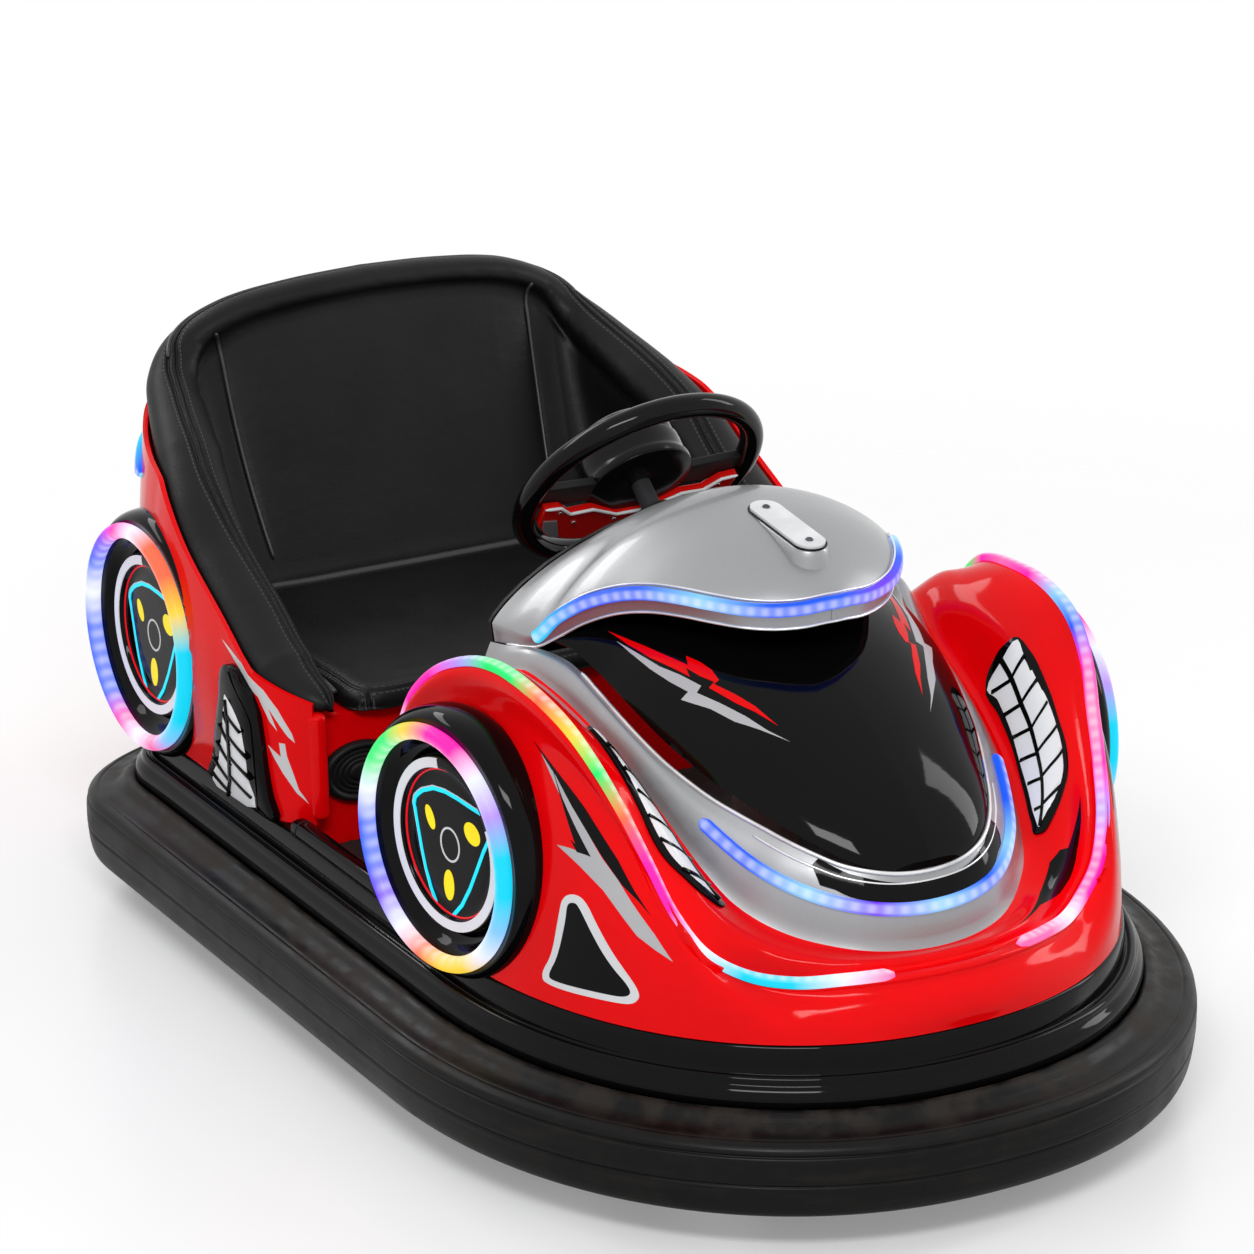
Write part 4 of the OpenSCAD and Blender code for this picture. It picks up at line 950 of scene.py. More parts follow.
# distance from the double seam round the bolster, 33 mm being about the bolster's radius
across = (angle[None] - seamAngle[:, None]) * 33 * shareFine
across[:, 90:] = 60
across = np.where(across > seat["double"] / 2, across - seat["double"], across)
along = lengths(seatGrid[:, 45])[:, None] * 1000 + 0 * across
# soft wrinkles of the cover: short ridges across the bolster that fade towards its top, in waves of
#   changing length
wave = np.sin(along * 0.13 + 2.2 * np.sin(along * 0.021 + 0.7) + angle[None] * 1.7)
wave = wave * np.sin(along * 0.047 + 1.3)
fade = np.exp(-((np.degrees(angle)[None] - 168) / 26) ** 2)
wrinkle = seat["wrinkle"] * fade * np.clip(wave, 0, 1) * shareFine
groove = seat["groove"] * np.exp(-(across / 2.0) ** 2)
seatGrid = seatGrid - facing(seatGrid) * (wrinkle + groove)[..., None] / 1000
seatObj = surface("seatShell", seatGrid, seatLeather, closeV=True, caps=True,
                  replaces=["seat_back", "seat_roll"], slot="leather_black")
seamMap(seatObj, np.stack([along, across], -1))
seatOut = facing(seatGrid)
fromPiping = np.abs(kFine - seat["piping"])
row = np.flatnonzero(fromPiping == fromPiping.min())
for tag, r in (("Left", row[0]), ("Right", row[-1])):
    line = seatGrid[r, 78:132:2] + seatOut[r, 78:132:2] * 0.0012
    tube("seatPiping" + tag, refine(line, 2), 0.0022, piping, slot="leather_black")
edgeColumn = np.minimum(np.abs(angle[None] - seamAngle[:, None]).argmin(1), 90)
picked = np.flatnonzero(kFine > 14.6)[::4]
line = seatGrid[picked, edgeColumn[picked]] + seatOut[picked, edgeColumn[picked]] * 0.001
tube("seatTopPiping", refine(line, 4), 0.0026, piping, slot="leather_black")

# Cushion: a crowned slab with a rounded front; its plan is a rounded outline and its section a squared oval
cushion = {"plan": [(0, 173), (200, 173), (262, 174.5), (275, 180), (281, 194), (282, 230), (282, 385),
                    (262, 470), (246, 520), (228, 534), (150, 536), (0, 536)], "low": 316.6, "high": 345.5,
           "crown": 4.0, "limit": 0.004, "pressure": 4.0, "edgeSeam": 0.955, "sideSeam": 262, "groove": 1.1}
outline = refine(cushion["plan"], 6)
outline = np.concatenate([outline, (outline * [-1, 1])[-2:0:-1]])
centre = np.array([0, 350.0])
# rings from the middle of the top out over the rounded edge and back in to the middle of the underside
turn = np.linspace(0.1, np.pi / 2, 7)
edge = 0.9 + 0.1 * np.sin(turn)
rings = np.concatenate([np.linspace(0.04, 0.9, 16), edge, [1, 1], edge[::-1], np.linspace(0.9, 0.04, 10)])
height = np.concatenate([np.ones(16), np.cos(turn) * 0.62 + 0.38, [0.3, 0.2],
                         0.14 - 0.14 * np.cos(turn[::-1]), np.zeros(10)])
flat = centre + (outline - centre)[None] * rings[:, None, None]
level = cushion["low"] + (cushion["high"] - cushion["low"]) * height
level = level + cushion["crown"] * (1 - rings ** 4) * (np.arange(len(rings)) < 20)
pad = np.concatenate([flat, np.broadcast_to(level[:, None, None], (*flat.shape[:2], 1))], -1) / 1000
hold = np.where(np.arange(len(rings)) > 24, 1.0, 0.0)[:, None] + np.zeros((1, len(outline)))
hold[:2] = 0.3
swell = swelled(pad, gridFaces(*hold.shape, closeV=True)[2][:, ::-1], hold, cushion)
# the top moves up as one, so that it stays even
swell[:14] = pad[:14] + (swell[:14] - pad[:14]).mean(axis=(0, 1)) * [0, 0, 1]
padGrid = refineBoth(np.concatenate([swell, swell[:, :1]], 1), 2, 3)[:, :-1]
px, py = padGrid[..., 0] * 1000, padGrid[..., 1] * 1000
# seams near the edge of the top and along both sides
edgeAway = (refine(rings[:, None], 2)[:, 0] - cushion["edgeSeam"])[:, None] * 260 + 0 * px
edgeAway[40:] = 50
sideAway = np.abs(np.abs(px) - cushion["sideSeam"]) + np.where(py < 190, 0, 60)
away = np.where(np.abs(edgeAway) < sideAway, edgeAway, sideAway)
padGrid = padGrid - facing(padGrid) * (cushion["groove"] * np.exp(-(away / 1.6) ** 2))[..., None] / 1000
padObj = surface("seatPad", padGrid[:, ::-1], seatLeather, closeV=True, caps=True, replaces=["seat_cushion"],
                 slot="leather_black")
seamMap(padObj, np.stack([px + py, away], -1)[:, ::-1])
print("seat made")

# Value of a grid at fractional rows and columns, straight between its points
def sampled(grid, at):
    i = np.clip(np.floor(at[:, 0]).astype(int), 0, grid.shape[0] - 2)
    j = np.clip(np.floor(at[:, 1]).astype(int), 0, grid.shape[1] - 2)
    u, v = (at[:, 0] - i)[:, None], (at[:, 1] - j)[:, None]
    near = grid[i, j] * (1 - u) + grid[i + 1, j] * u
    return near * (1 - v) + (grid[i, j + 1] * (1 - u) + grid[i + 1, j + 1] * u) * v


# Area inside an outline, as points and triangles; the inner points stand on a mesh of the given step
def filled(outline, step):
    low, high = outline.min(0), outline.max(0)
    along = np.stack([np.roll(outline, -1, 0), outline], 1)
    count = np.maximum(1, np.ceil(np.abs(along[:, 0] - along[:, 1]).max(1) / step)).astype(int)
    edge = np.concatenate([b + (a - b) * np.arange(c)[:, None] / c for (a, b), c in zip(along, count)])
    x, y = np.meshgrid(np.arange(low[0], high[0], step), np.arange(low[1], high[1], step), indexing="ij")
    inner = np.stack([x.ravel(), y.ravel()], -1)
    a, b = edge, np.roll(edge, -1, 0)
    over = (a[None, :, 1] > inner[:, None, 1]) != (b[None, :, 1] > inner[:, None, 1])
    rise, run = np.where(over, b[None, :, 1] - a[None, :, 1], 1), b[None, :, 0] - a[None, :, 0]
    cross = run * (inner[:, None, 1] - a[None, :, 1]) / rise + a[None, :, 0]
    inside = (over & (inner[:, :1] < cross)).sum(1) % 2 == 1
    clear = np.linalg.norm(inner[:, None] - edge[None], axis=-1).min(1) > step * 0.35
    points = np.concatenate([edge, inner[inside & clear]])
    n = len(edge)
    ring = [(k, (k + 1) % n) for k in range(n)]
    out = delaunay_2d_cdt([Vector(p) for p in points.tolist()], ring, [], 1, 1e-7)
    return np.array([tuple(p) for p in out[0]]), np.array(out[2])


# Edges of a flat triangle mesh that only one triangle has
def rimOf(faces, n):
    pairs = np.concatenate([faces[:, [0, 1]], faces[:, [1, 2]], faces[:, [2, 0]]])
    used = np.zeros((n, n), bool)
    used[pairs[:, 0], pairs[:, 1]] = True
    return pairs[~used[pairs[:, 1], pairs[:, 0]]]


# Closed mesh between two copies of a flat triangle mesh, top and bottom, with faces round the rim
def slab(name, top, bottom, faces, material, **more):
    n = len(top)
    a, b = rimOf(faces, n).T
    sides = np.concatenate([np.stack([b, a, a + n], -1), np.stack([b, a + n, b + n], -1)])
    mesh = bpy.data.meshes.new(name)
    solid = np.concatenate([faces, faces[:, ::-1] + n, sides])
    mesh.from_pydata(np.concatenate([top, bottom]).tolist(), [], solid.tolist())
    return finish(name, mesh, material, merge=True, **more)


# Grids that patches are laid on, with the scale that turns their rows and columns into about equal lengths
canvas = {"red": (redGrid, (2.2, 4.5)), "rear": (rearWhole, (7.0, 3.0)), "panel": (panelGrid, (2.6, 5.0)),
          "nose": (surroundGrid, (2.2, 4.0))}


# Thin closed patch on a grid: an outline in rows and columns, or a line with a width, carried to the
#   surface at two heights; dome swells its top as a quarter circle from the rim
def patch(name, on, shape, material, low=-0.4, high=0.3, step=4.0, sign=1, dome=0.0, smooth=0, width=0,
          **more):
    grid, scale = canvas[on]
    shape = np.asarray(shape, float)
    if smooth:
        shape = refine(shape, smooth, closed=not width)
    if width:
        shape = bandOf(shape * scale, width) / scale
    flat, faces = filled(shape * scale, step)
    at = flat / scale
    place, up = sampled(grid, at), sampled(facing(grid), at)
    if dome:
        rim = np.unique(rimOf(faces, len(at)))
        depth = np.linalg.norm(flat[:, None] - flat[rim][None], axis=-1).min(1)
        depth = np.clip(depth / depth.max(), 0, 1)
        high = high + dome * np.sqrt(depth * (2 - depth))[:, None]
    top, bottom = (place + up * high / 1000) * [sign, 1, 1], (place + up * low / 1000) * [sign, 1, 1]
    sharpen(slab(name, top, bottom, faces, material, **more), 40)


# Band of a given width along a line
def bandOf(line, width):
    ahead = unit(np.gradient(line, axis=0))
    side = np.stack([-ahead[:, 1], ahead[:, 0]], -1) * width / 2
    return np.concatenate([line + side, (line - side)[::-1]])


# Outline with its corners rounded: twice as many points three times, each a quarter of the way on
def rounded(outline):
    outline = np.asarray(outline, float)
    for turn in range(3):
        after = np.roll(outline, -1, 0)
        outline = np.stack([outline * 0.75 + after * 0.25, outline * 0.25 + after * 0.75], 1).reshape(-1, 2)
    return outline


# Shapes laid on the shells, as rows and columns of their grids, drawn for one side and mirrored to the other
marks = {"fenderFlash": [(280.6, 31.3), (275.1, 33.2), (269.7, 36.0), (265.6, 37.9), (261.2, 40.4),
                         (256.4, 41.8), (252.5, 44.1), (246.4, 47.1), (242.4, 50.9), (247.9, 51.3),
                         (253.1, 51.0), (256.3, 49.4), (262.1, 46.6), (268.4, 45.4), (275.4, 44.4),
                         (269.5, 43.2), (264.7, 42.1), (268.7, 39.2), (273.8, 35.8)],
         "fenderEdge": [(283.3, 30.4), (273.6, 32.5), (265.4, 34.0), (259.4, 36.0), (255.3, 37.2),
                        (250.7, 40.3), (246.0, 42.5), (249.3, 42.1), (255.1, 42.1), (260.8, 40.2),
                        (265.6, 37.9), (269.7, 36.0), (275.1, 33.2)],
         "fenderNotch": [(276.1, 32.6), (273.1, 35.9), (268.7, 39.2), (264.7, 42.1), (268.9, 43.3),
                         (270.6, 42.0), (269.1, 42.2)],
         "signOuter": [(271.7, 50.9), (267.9, 50.6), (265.3, 53.9), (261.5, 58.2), (255.6, 63.1),
                       (257.9, 66.0), (263.6, 67.1), (282.1, 68.2), (283.0, 66.5), (279.4, 62.8),
                       (276.3, 55.6), (274.9, 52.6)],
         "signInner": [(271.9, 52.4), (270.2, 52.2), (267.5, 55.5), (263.7, 59.8), (258.3, 63.4),
                       (260.0, 65.1), (264.1, 65.9), (280.1, 67.1), (281.0, 66.2), (277.7, 62.7),
                       (274.3, 55.9), (273.5, 53.2)],
         "farFlash": [(106.2, 13.4), (111.2, 13.3), (117.4, 12.7), (125.2, 13.1), (131.2, 12.2),
                      (139.5, 8.1), (152.4, 8.1), (133.8, 6.1), (121.3, 5.8), (117.9, 7.6), (117.3, 9.8),
                      (111.1, 11.8)],
         "panelRed": [(3.3, 11.0), (10.0, 12.6), (19.9, 14.9), (28.9, 17.3), (25.9, 18.3), (30.2, 19.5),
                      (34.4, 20.1), (38.3, 19.8), (38.5, 18.5), (44.6, 20.2), (50.9, 21.6), (60.7, 22.5),
                      (52.7, 20.8), (46.9, 19.0), (38.6, 17.2), (38.0, 18.8), (34.0, 17.5), (29.3, 16.6),
                      (32.4, 15.9), (26.5, 14.5), (19.1, 12.6), (10.3, 11.3)],
         "panelSilver": [(7.1, 10.2), (16.0, 11.5), (23.7, 12.8), (30.0, 14.7), (36.7, 16.3), (37.6, 14.6),
                         (44.3, 16.6), (52.0, 18.6), (60.5, 20.1), (67.6, 22.0), (58.7, 18.9), (51.7, 16.1),
                         (43.9, 14.2), (36.0, 11.0), (35.7, 13.4), (29.6, 12.0), (22.0, 10.8), (13.0, 10.2)],
         "plate": [(210.1, 1.8), (195.9, 1.1), (184.8, 1.5), (170, 2.1), (155.2, 1.5), (144.1, 1.1),
                   (129.9, 1.8), (131.6, 3.6), (138.9, 4.3), (144.2, 4.8), (154.3, 5.1), (164.2, 5.7),
                   (170, 6.0), (175.8, 5.7), (185.7, 5.1), (195.8, 4.8), (201.1, 4.3), (208.4, 3.6)],
         "headOuter": [(62.3, 8.0), (68.8, 9.1), (78.0, 9.7), (89.0, 10.7), (96.0, 11.3), (100.0, 10.7),
                       (104.4, 8.4), (109.0, 6.1), (111.3, 4.4), (110.9, 3.2), (107.2, 2.7), (97.5, 2.6),
                       (85.2, 2.9), (72.6, 3.0), (63.3, 3.4), (61.7, 4.3), (61.0, 6.8)],
         "headInner": [(63.4, 7.7), (69.2, 7.9), (76.4, 8.3), (83.0, 9.1), (90.0, 9.8), (95.2, 10.0),
                       (99.2, 9.4), (102.4, 8.0), (105.4, 6.4), (107.9, 4.9), (109.6, 4.0), (106.4, 3.5),
                       (98.6, 3.4), (89.5, 3.4), (78.9, 3.6), (69.8, 3.7), (64.2, 3.8), (63.7, 5.8)],
         "headLine": [(63.3, 5.9), (70.5, 5.9), (77.7, 5.8), (85.3, 6.0), (92.1, 6.0), (98.2, 5.8),
                      (102.8, 5.3), (109.5, 4.1)],
         "headBars": [((67.2, 3.6), (70.6, 5.7)), ((74.9, 3.6), (77.9, 5.8)), ((81.9, 3.6), (85.3, 6.0)),
                      ((89.1, 3.6), (92.1, 6.0)), ((96.4, 3.7), (98.2, 5.8)), ((104.3, 3.7), (104.7, 5.0)),
                      ((70.5, 5.9), (69.5, 8.1)), ((77.6, 5.9), (76.8, 8.4)), ((85.3, 6.0), (83.2, 9.0)),
                      ((91.7, 6.1), (90.0, 9.8)), ((97.8, 5.9), (95.4, 10.0)), ((104.3, 5.1), (102.2, 8.6))],
         "fin": [(251.9, 0.3), (252.5, 10.2), (253.4, 25.0), (253.9, 37.5), (253.4, 48.8), (251.6, 54.2),
                 (249.4, 55.2), (246.6, 53.0), (244.9, 48.9), (244.2, 40.1), (242.2, 25.0), (239.7, 12.0),
                 (236.0, 0.3)],
         "finCrease": [(248.0, 53.0), (251.4, 47.5), (252.4, 42.9), (252.4, 34.3), (251.2, 18.0),
                       (249.3, 3.3)],
         "lens": [(246.8, 42.9), (248.6, 42.0), (249.8, 39.7), (250.5, 30.3), (249.6, 17.9), (247.1, 2.5),
                  (244.5, 2.2), (239.8, 1.6), (242.6, 14.2), (245.8, 32.5)],
         "lensLine": [(247.4, 42.0), (247.6, 35.0), (246.6, 22.4), (244.9, 9.4), (243.2, 2.0)],
         "lensBars": [((247.5, 37.0), (250.6, 35.0)), ((247.1, 29.0), (251.2, 25.9)),
                      ((246.4, 20.5), (250.7, 17.3)), ((245.2, 12.0), (249.4, 8.8)),
                      ((246.4, 36.5), (247.5, 33.0)), ((244.9, 30.0), (247.1, 25.5)),
                      ((243.5, 22.0), (246.3, 17.0)), ((241.6, 13.5), (245.0, 9.0)),
                      ((240.2, 7.0), (244.0, 4.0))],
         "flashTop": [(242.9, 55.0), (250.1, 59.0), (254.9, 56.1), (257.3, 50.8), (259.4, 42.3),
                      (259.8, 38.5), (258.6, 40.2), (257.3, 43.9), (255.4, 49.4), (256.6, 41.0),
                      (255.4, 43.6), (253.7, 51.6), (249.1, 55.5)],
         "flashLow": [(254.2, 32.8), (256.5, 29.7), (256.6, 35.9), (257.8, 36.5), (257.8, 31.2),
                      (258.6, 23.1), (259.2, 16.4), (261.4, 10.3), (258.5, 14.8), (256.2, 22.6),
                      (255.0, 28.1)]}
finPlan = {"smooth": 4, "dome": 4.5, "replaces": ["side_fins"], "slot": "black_gloss"}
lensPlan = {"smooth": 4, "dome": 1.5, "replaces": ["fin_lenses"], "slot": "lens_white"}
headPlan = {"smooth": 4, "dome": 2.2, "step": 3.0}
for tag, sign in (("Right", 1), ("Left", -1)):
    for name, on, shape, paint, high in [("flash", "red", "fenderFlash", flashSilver, 0.28),
                                         ("flashEdge", "red", "fenderEdge", blackGloss, 0.4),
                                         ("flashNotch", "red", "fenderNotch", blackGloss, 0.52),
                                         ("rearFlash", "rear", "flashTop", flashWhite, 0.3),
                                         ("rearFlashLow", "rear", "flashLow", flashWhite, 0.3)]:
        patch(name + tag, on, marks[shape], paint, high=high, sign=sign)
    patch("finShell" + tag, "rear", marks["fin"], blackGloss, -1.0, 9.0, sign=sign, **finPlan)
    patch("finLens" + tag, "rear", marks["lens"], lensWhite, 8.0, 13.6, sign=sign, **lensPlan)
    patch("finLine" + tag, "rear", marks["lensLine"], blackGloss, 12.0, 17.6, 3.0, sign, width=2.6)
    patch("finCrease" + tag, "rear", marks["finCrease"], blackGloss, 6.0, 13.4, 3.0, sign, smooth=4,
          width=2.4)
    for k, bar in enumerate(marks["lensBars"]):
        patch("finBar" + str(k) + tag, "rear", bar, blackGloss, 12.0, 17.4, 3.0, sign, width=2.4)
patch("signOuter", "red", rounded(marks["signOuter"]), whiteGloss)
patch("signInner", "red", rounded(marks["signInner"]), blackGloss, high=0.45)
patch("farFlash", "red", marks["farFlash"], blackGloss)
patch("nosePlate", "nose", marks["plate"], blackGloss, -1.0, 1.6, 3.0, smooth=3)
for tag, sign in (("Right", -1), ("Left", 1)):
    patch("headlight" + tag, "red", marks["headOuter"], blackGloss, -1.0, 3.0, sign=sign,
          replaces=["headlights"], slot="black_gloss", **headPlan)
    patch("headGlass" + tag, "red", marks["headInner"], lensWhite, 1.0, 4.4, sign=sign, slot="lens_white",
          **headPlan)
    patch("headLine" + tag, "red", marks["headLine"], blackGloss, 3.0, 7.4, 3.0, sign, smooth=4, width=2.0)
    for k, bar in enumerate(marks["headBars"]):
        patch("headBar" + str(k) + tag, "red", bar, blackGloss, 3.0, 7.2, 3.0, sign, width=1.7)
    # column 0 of the panel lies on the car's right-hand side
    for name, paint, high in (("panelRed", redGloss, 0.3), ("panelSilver", flashSilver, 0.45)):
        shape = [(r, 78 - c) if sign > 0 else (r, c) for r, c in marks[name]]
        patch(name + tag, "panel", shape, paint, high=high)
print("marks and lamps made")

# Graphics on a pod's face in millimetres on its disc, from its floor up: triangle line, ovals and their
#   ring, pale band with a gap in degrees from the top, and a thin red line
faceMarks = {"triangle": [(64, 30), (58, 36.5), (49, 43.4), (-59.1, 50.5), (-76, 50), (-79, 43), (-73, 34),
                          (-1.2, -82.5), (5, -87.5), (11.7, -88.1), (18, -85.5), (24.3, -79), (64.2, 18),
                          (66, 24)],
             "ovals": [((36.5, 17.5), (13.5, 7.0), 62), ((-39.1, 23), (14.5, 11.5), 20),
                       ((3.4, -48.0), (9.2, 17.0), 0)], "ringAt": (0.9, -2.0), "ringSize": (16.5, 18.0),
             "gap": (-8.0, 62.0), "band": 87.6, "redLine": 79.3, "floor": -19.6}


# Flat closed shape on the pod's disc between two depths
def onDisc(name, place, outline, material, high, low=faceMarks["floor"]):
    flat, faces = filled(outline, 8.0)
    top, bottom = (atPod(np.column_stack([np.full(len(flat), d), flat]), place) for d in (high, low))
    slab(name, top, bottom, faces, material, smooth=False)


# Circle of radius 1 through the angles a from the top: -sin(a), cos(a)
def circle(a):
    return np.stack([-np.sin(a), np.cos(a)], -1)


# Ellipse of two half widths about its middle, turned by an angle
def ovalLine(middle, size, turn):
    a = np.linspace(0, 2 * np.pi, 40, endpoint=False)
    c, s = math.cos(math.radians(turn)), math.sin(math.radians(turn))
    x, y = size[0] * np.cos(a), size[1] * np.sin(a)
    return np.stack([middle[0] + x * c - y * s, middle[1] + x * s + y * c], -1)


# Line on the disc as a low band: its points moved out and in by half the width
def discBand(name, place, line, width, material, high, low=faceMarks["floor"], closed=True):
    ahead = unit(np.roll(line, -1, 0) - np.roll(line, 1, 0)) if closed else unit(np.gradient(line, axis=0))
    side = np.stack([-ahead[:, 1], ahead[:, 0]], -1) * width / 2
    corners = [(line - side, high), (line + side, high), (line + side, low), (line - side, low)]
    grid = np.stack([np.column_stack([np.full(len(line), depth), edge]) for edge, depth in corners], 1)
    more = {"closeU": closed, "closeV": True, "caps": not closed, "merge": True}
    sharpen(surface(name, atPod(grid, place), material, **more), 40)


for place in places:
    tag = podName(place)
    gapLow, gapHigh = np.radians(faceMarks["gap"])
    # the gap lies on the side towards the front of the car
    arc = circle(np.linspace(gapHigh, 2 * np.pi + gapLow, 90)) * faceMarks["band"]
    discBand("podBand" + tag, place, arc, 10.6, paleBandPaintedGlow, -11.2, -12.4, closed=False)
    line = circle(-np.linspace(0, 2 * np.pi, 96, endpoint=False)) * faceMarks["redLine"]
    discBand("podRed" + tag, place, line, 1.6, redLine, -17.6)
    triangle = refine(faceMarks["triangle"], 5, closed=True)
    discBand("podTriangle" + tag, place, triangle, 4.4, cyanPaintedGlow, -18.7)
    discBand("podTriangleEdge" + tag, place, triangle * 1.035 + [0.6, 0.6], 1.3, whiteGloss, -18.9)
    for k, (middle, size, tilt) in enumerate(faceMarks["ovals"]):
        onDisc("podOval" + str(k) + tag, place, ovalLine(middle, size, tilt), yellowPaintedGlow, -18.8)
    ring = ovalLine(faceMarks["ringAt"], faceMarks["ringSize"], 0)
    discBand("podOvalRing" + tag, place, ring, 2.4, whiteGloss, -18.8)
print("pod faces made")

# Points in a frame that is tilted about the car's x axis: origin as y and z in millimetres, angle in degrees
def tilted(points, y, z, angle):
    points = np.asarray(points, float)
    c, s = math.cos(math.radians(angle)), math.sin(math.radians(angle))
    across, along, up = points[..., 0], points[..., 1], points[..., 2]
    return np.stack([across, y + along * c - up * s, z + along * s + up * c], -1) / 1000


# Steering wheel: the third axis of its frame, y, z and tilt in place, is the column's, towards the driver
def atWheel(points):
    return tilted(points, *wheel["place"])


# A profile of (radius, height) turned about the column
def wheelTurn(profile, steps=96):
    return atWheel(np.stack(turned(profile, steps), -1))


wheel = {"drum": [(0.4, -6), (60, -6), (61.6, -5), (62, -3), (62, 3.5), (61.4, 5), (60.6, 7), (60, 12),
                  (59.8, 28), (59.2, 30.6), (57.2, 31.6), (56.6, 33), (57, 35), (57.2, 46), (56, 52.5),
                  (52.6, 57.8), (46.5, 62), (38, 64.6), (24, 66.2), (0.4, 66.8)],
         "plate": [(20, 40), (56, 21), (84, 22), (101, 6), (121.5, 4), (118.5, 36), (100, 62), (66, 76),
                   (30, 84), (22, 66)],
         "line": [(-121, 4), (-101, 6), (-84, 22), (-56, 21), (-20, 40), (20, 40), (56, 21), (84, 22),
                  (101, 6), (121, 4)],
         "insert": [(98, 30), (116, 27), (111, 45), (97, 62), (84, 66)],
         "screws": [(20.6, 48), (74, 40), (99, 15)],
         "arm": [(40, -14), (127, -18), (130, 16), (58, 18)], "rim": 135, "grip": 13, "place": (39, 586, -51)}
surface("wheelDrum", wheelTurn(refine(wheel["drum"], 3)), drumPlastic, closeU=True, body="steering_wheel",
        replaces=["steering_hub"], slot="black_matt")
b = np.linspace(0, 2 * np.pi, 24, endpoint=False)
grip = np.stack([wheel["rim"] + wheel["grip"] * np.cos(b), wheel["grip"] * np.sin(b)], -1)
surface("wheelRim", wheelTurn(grip, 160), rimGloss, closeU=True, closeV=True, body="steering_wheel",
        replaces=["steering_rim"], slot="black_gloss")


# Flat closed shape in the wheel's plane between two heights, with softened edges
def wheelPlate(name, outline, low, high, material, bevel=0.0, **more):
    n = len(outline)
    area = (outline[:, 0] * np.roll(outline[:, 1], -1) - np.roll(outline[:, 0], -1) * outline[:, 1]).sum()
    outline = outline if area > 0 else outline[::-1]
    solid = np.concatenate([np.column_stack([outline, np.full(n, height)]) for height in (low, high)])
    k = np.arange(n)
    sides = np.stack([k, (k + 1) % n, (k + 1) % n + n, k + n], -1).tolist()
    ends = [list(range(n - 1, -1, -1)), list(range(n, 2 * n))]
    mesh = bpy.data.meshes.new(name)
    mesh.from_pydata(atWheel(solid).tolist(), [], sides + ends)
    obj = finish(name, mesh, material, body="steering_wheel", merge=True, smooth=bevel > 0, **more)
    if bevel:
        edge = obj.modifiers.new("edge", "BEVEL")
        edge.width, edge.segments = bevel / 1000, 3
        edge.limit_method, edge.angle_limit = "ANGLE", math.radians(30)
        sharpen(obj, 50)


plateRight = np.array(wheel["plate"], float)
plateLine = np.concatenate([plateRight, (plateRight * [-1, 1])[::-1]])
wheelPlate("wheelPlate", plateLine, -16, -6.3, wheelRed, 1.2, replaces=["steering_spokes"], slot="red_shell")
line = np.array(wheel["line"], float)
steps = np.linspace(0, 1, 7)[:-1, None]
line = np.concatenate([line[k] + (line[k + 1] - line[k]) * steps for k in range(len(line) - 1)] + [line[-1:]])
line = atWheel(np.column_stack([line, np.full(len(line), -16.3)]))
tube("wheelLine", line, 0.0019, whiteGloss, body="steering_wheel")
# dark arms that carry the rim, behind the red plate
for tag, s in (("Left", 1), ("Right", -1)):
    wheelPlate("wheelArm" + tag, np.array(wheel["arm"]) * [s, 1], -5.8, 4.0, blackPlastic, 1.5)
    wheelPlate("wheelInsert" + tag, np.array(wheel["insert"]) * [s, 1], -17.2, -16.1, greyInsert)
    for x, y in wheel["screws"]:
        screw = [s * x, y] + 2.6 * np.stack(turned([(1, 0)], 14)[:2], -1)[:, 0]
        wheelPlate("wheelScrew" + tag + str(int(x)), screw, -17.6, -16.1, chrome, 0.4)
print("steering wheel made")

# Trim lines, as tube radii in millimetres: a bright line round the black panel, a second one low on the
#   surround, and two thin lines along the cowl's lower edge and above its light
trim = {"panel": 2.3, "second": 1.5, "cowl": 1.5, "above": 1.1}
panelLine, lowLine = np.s_[34:307, start[1]], np.s_[108:233, start[1] + 2]
for name, line, size in [("panelTrim", (fine + normals * 0.0012)[panelLine], "panel"),
                         ("panelTrimLow", (fine + normals * 0.0004)[lowLine], "second"),
                         ("cowlEdge", cowlLine(np.maximum(cowlHalf - 2.2, 0.1), cowlLow - 0.4, 6), "cowl"),
                         ("cowlLine", cowlLine(cowlHalf * 0.985, cowlLight + 8, 22), "above")]:
    tube(name, line, trim[size] / 1000, brightTrim, slot="silver_shell")

# Blank plate on the cowl: its frame as y, z and tilt, the reach and radius of its rim line, the rings of the
#   moulded boss under it as radius, reach and height, and a screw head's profile
plate = {"place": (-269, 622.5, 7), "reach": 43.0, "rim": 18.2,
         "boss": [(0.5, 0.2, -0.3), (16.0, 43.0, -0.3), (18.6, 43.0, -0.5), (19.6, 43.0, -1.6),
                  (21.5, 43.4, -8.0), (25.0, 44.0, -24.0), (0.5, 0.2, -24.0)],
         "head": [(0.05, 4.0), (4.2, 4.0), (4.2, 4.6), (3.5, 5.6), (2.0, 6.2), (1.5, 6.2), (1.3, 5.0),
                  (0.05, 5.0)]}


def atPlate(points):
    return tilted(points, *plate["place"])


# Capsule outline at a height: two half circles joined by straight sides
def capsule(radius, reach, height):
    a = np.linspace(0, np.pi, 24)
    end = np.stack([radius * np.cos(a), reach + radius * np.sin(a)], -1)
    return np.column_stack([np.concatenate([end, -end]), np.full(48, height)])


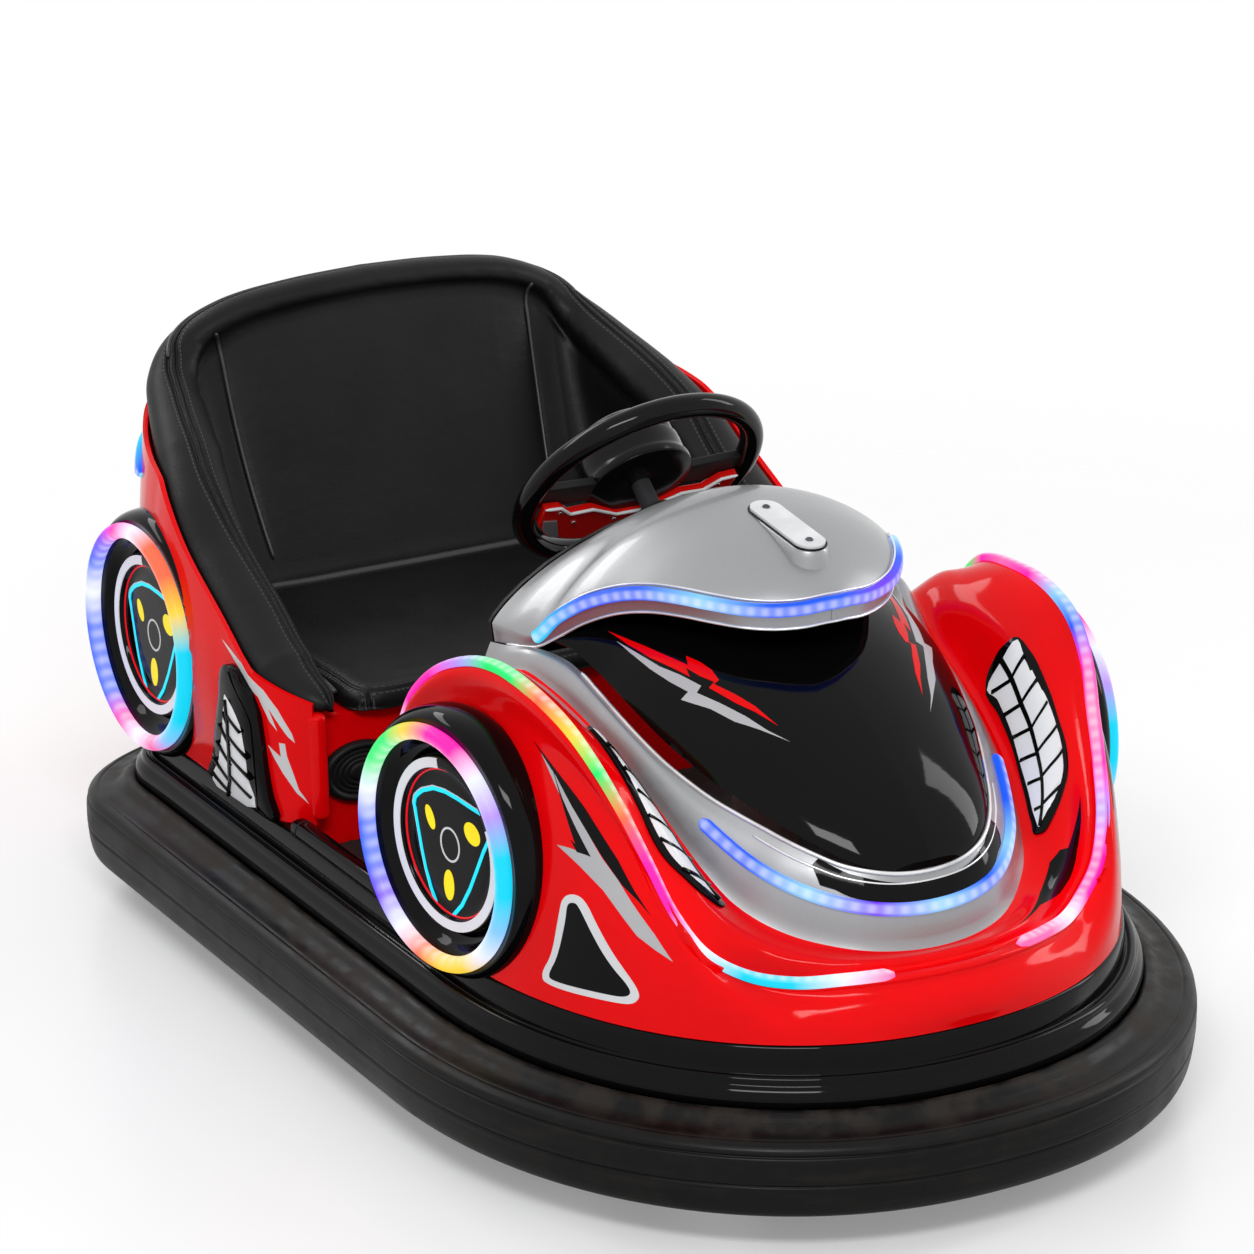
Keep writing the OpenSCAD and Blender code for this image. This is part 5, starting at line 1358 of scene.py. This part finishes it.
boss = atPlate(np.stack([capsule(*ring) for ring in plate["boss"]], 1))
sharpen(surface("plateBoss", boss, silverGloss, closeU=True, merge=True, slot="silver_shell"), 50)
line = capsule(plate["rim"], plate["reach"], 0.6)
tube("plateRim", atPlate(np.concatenate([line, line[:2]])), 0.0011, blackGloss, slot="black_gloss")
for tag, s in (("Front", -1), ("Back", 1)):
    screw = atPlate(np.stack(turned(plate["head"], 28), -1) + [0, s * plate["reach"], 0])
    surface("plateScrew" + tag, screw, darkScrew, closeU=True, merge=True, slot="bare_steel")


# Door sills: a rounded black moulding along each doorway on the tray's ledge, as inset and height, with a
#   joint cover at its rear end
sill = {"section": [(80, 198), (79.5, 205), (81, 211), (85, 214.5), (91, 215.5), (98, 214), (101.5, 209),
                    (102, 199)], "middle": (91.0, 198.0), "ends": (-46, 170), "round": 10, "joint": 150.0,
        "wall": 346.5}
section, middle = refine(sill["section"], 4), np.array(sill["middle"])
turn = np.linspace(0, np.pi / 2, 7)
ends = sill["round"] * (1 - np.cos(turn))
y = np.concatenate([sill["ends"][0] + ends, np.linspace(*sill["ends"], 24)[2:-2],
                    sill["ends"][1] - ends[::-1]])
turn = np.linspace(0.25, np.pi / 2, 7)
full = np.sin(np.concatenate([turn, np.full(20, np.pi / 2), turn[::-1]]))[:, None, None]
part = middle + (section[None] - middle) * full
z, yWall = np.meshgrid([158, 170, 185, 197], np.linspace(-50, 189, 12))
for tag, s in (("Left", 1), ("Right", -1)):
    inset, up = part[..., 0], part[..., 1]
    grid = np.stack([s * (carPlan["half"] - inset), y[:, None] + 0 * inset, up], -1) / 1000
    surface("sill" + tag, grid, blackGloss, closeV=True, caps=True, merge=True, slot="black_gloss")
    joint = np.full(len(section), sill["joint"])
    ring = np.column_stack([s * (carPlan["half"] - section[:, 0]), joint, section[:, 1]]) / 1000
    tube("sillJoint" + tag, ring, 0.0008, blackPlastic, slot="black_gloss")
    # rounded post that ends the rear shell beside the doorway
    post = rearWhole[0 if s > 0 else -1, 2:56] + np.array([-s * 0.007, 0.004, 0])
    tube("rearPost" + tag, post, 0.0105, redGloss, 20, slot="red_shell")
    # red inner wall between the mat and the sill
    wall = np.stack([np.full(z.shape, s * sill["wall"]), yWall, z], -1)[::s] / 1000
    shell("sillInner" + tag, wall, 0.002, redGloss, slot="red_shell")

# Floor mat: a ribbed sheet whose height repeats as small rounded bars that lie crosswise in turn
mat = {"half": 338.0, "front": -50.0, "back": 188.0, "floor": 160.6, "thick": 3.0, "pitch": 24.0, "rise": 1.1}
x, y = np.meshgrid(np.linspace(-mat["half"], mat["half"], 150), np.linspace(mat["front"], mat["back"], 60),
                   indexing="ij")
cell = (np.floor(x / mat["pitch"]) + np.floor(y / mat["pitch"])) % 2
waves = [np.sin(v / mat["pitch"] * 2 * np.pi * 1.5) for v in (x, y)]
bars = mat["rise"] * np.clip(np.where(cell > 0, *waves) * 2, 0, 1)
grid = np.stack([x, y, mat["floor"] + mat["thick"] + bars], -1) / 1000
shell("footMat", grid, 0.002, matRubber, slot="black_matt")

# Speaker covers: an oval ribbed dome on the front of the seat box; the profile is radius against height
speaker = {"profile": [(0.05, 0), (35, 0), (35.6, 2), (35.2, 6), (33.4, 9.5), (30.4, 10.4), (28.4, 8.8),
                       (26.6, 6.8), (24, 8.2), (21.5, 6.6), (19, 8.6), (16.5, 7), (14, 9), (11.5, 7.4),
                       (9, 9.4), (5, 9.8), (0.05, 10)], "stretch": 1.37}
low, high = (np.array(v) * 1000 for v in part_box("speaker_covers"))
x, z, depth = turned(refine(speaker["profile"], 2), 72)
for tag, s in (("Left", 1), ("Right", -1)):
    middle = s * (high[0] - 35 * speaker["stretch"])
    grid = np.stack([middle + x * speaker["stretch"], high[1] - depth, (low[2] + high[2]) / 2 + z], -1) / 1000
    surface("speaker" + tag, grid, blackPlastic, closeU=True, merge=True, replaces=["speaker_covers"],
            slot="black_matt")

# Pedal pad: rubber ribs across the foot plate
pedal = {"foot": (-120, 165.6), "head": (-174, 246.6), "x": (109, 161), "ribs": 8}
foot, head = np.array(pedal["foot"], float), np.array(pedal["head"], float)
out = np.array([head[1] - foot[1], foot[0] - head[0]]) / np.linalg.norm(head - foot)
ribs = []
for f in np.linspace(0.2, 0.92, pedal["ribs"]):
    y, z = foot + (head - foot) * f + out * 1.2
    line = np.array([(x, y, z) for x in np.linspace(*pedal["x"], 9)]) / 1000
    ribs.append(tube("pedalRib", line, 0.0032, matRubber, slot="black_matt"))
with bpy.context.temp_override(active_object=ribs[0], selected_editable_objects=ribs, selected_objects=ribs):
    bpy.ops.object.join()
ribs[0].name = ribs[0].data.name = "pedalRibs"

# Welt that closes the joint between cushion and back; it rises at the front
welt = refine([(286, 215), (287, 385), (268, 476), (252, 524), (232, 541), (150, 544), (0, 544)], 6)
welt = np.column_stack([welt, 333 + 4 * np.clip((welt[:, 1] - 215) / 60, 0, 1)]) / 1000
tube("seatWelt", np.concatenate([welt, mirrored(welt[-2::-1])]), 0.0065, piping, slot="leather_black")
print("trim made")
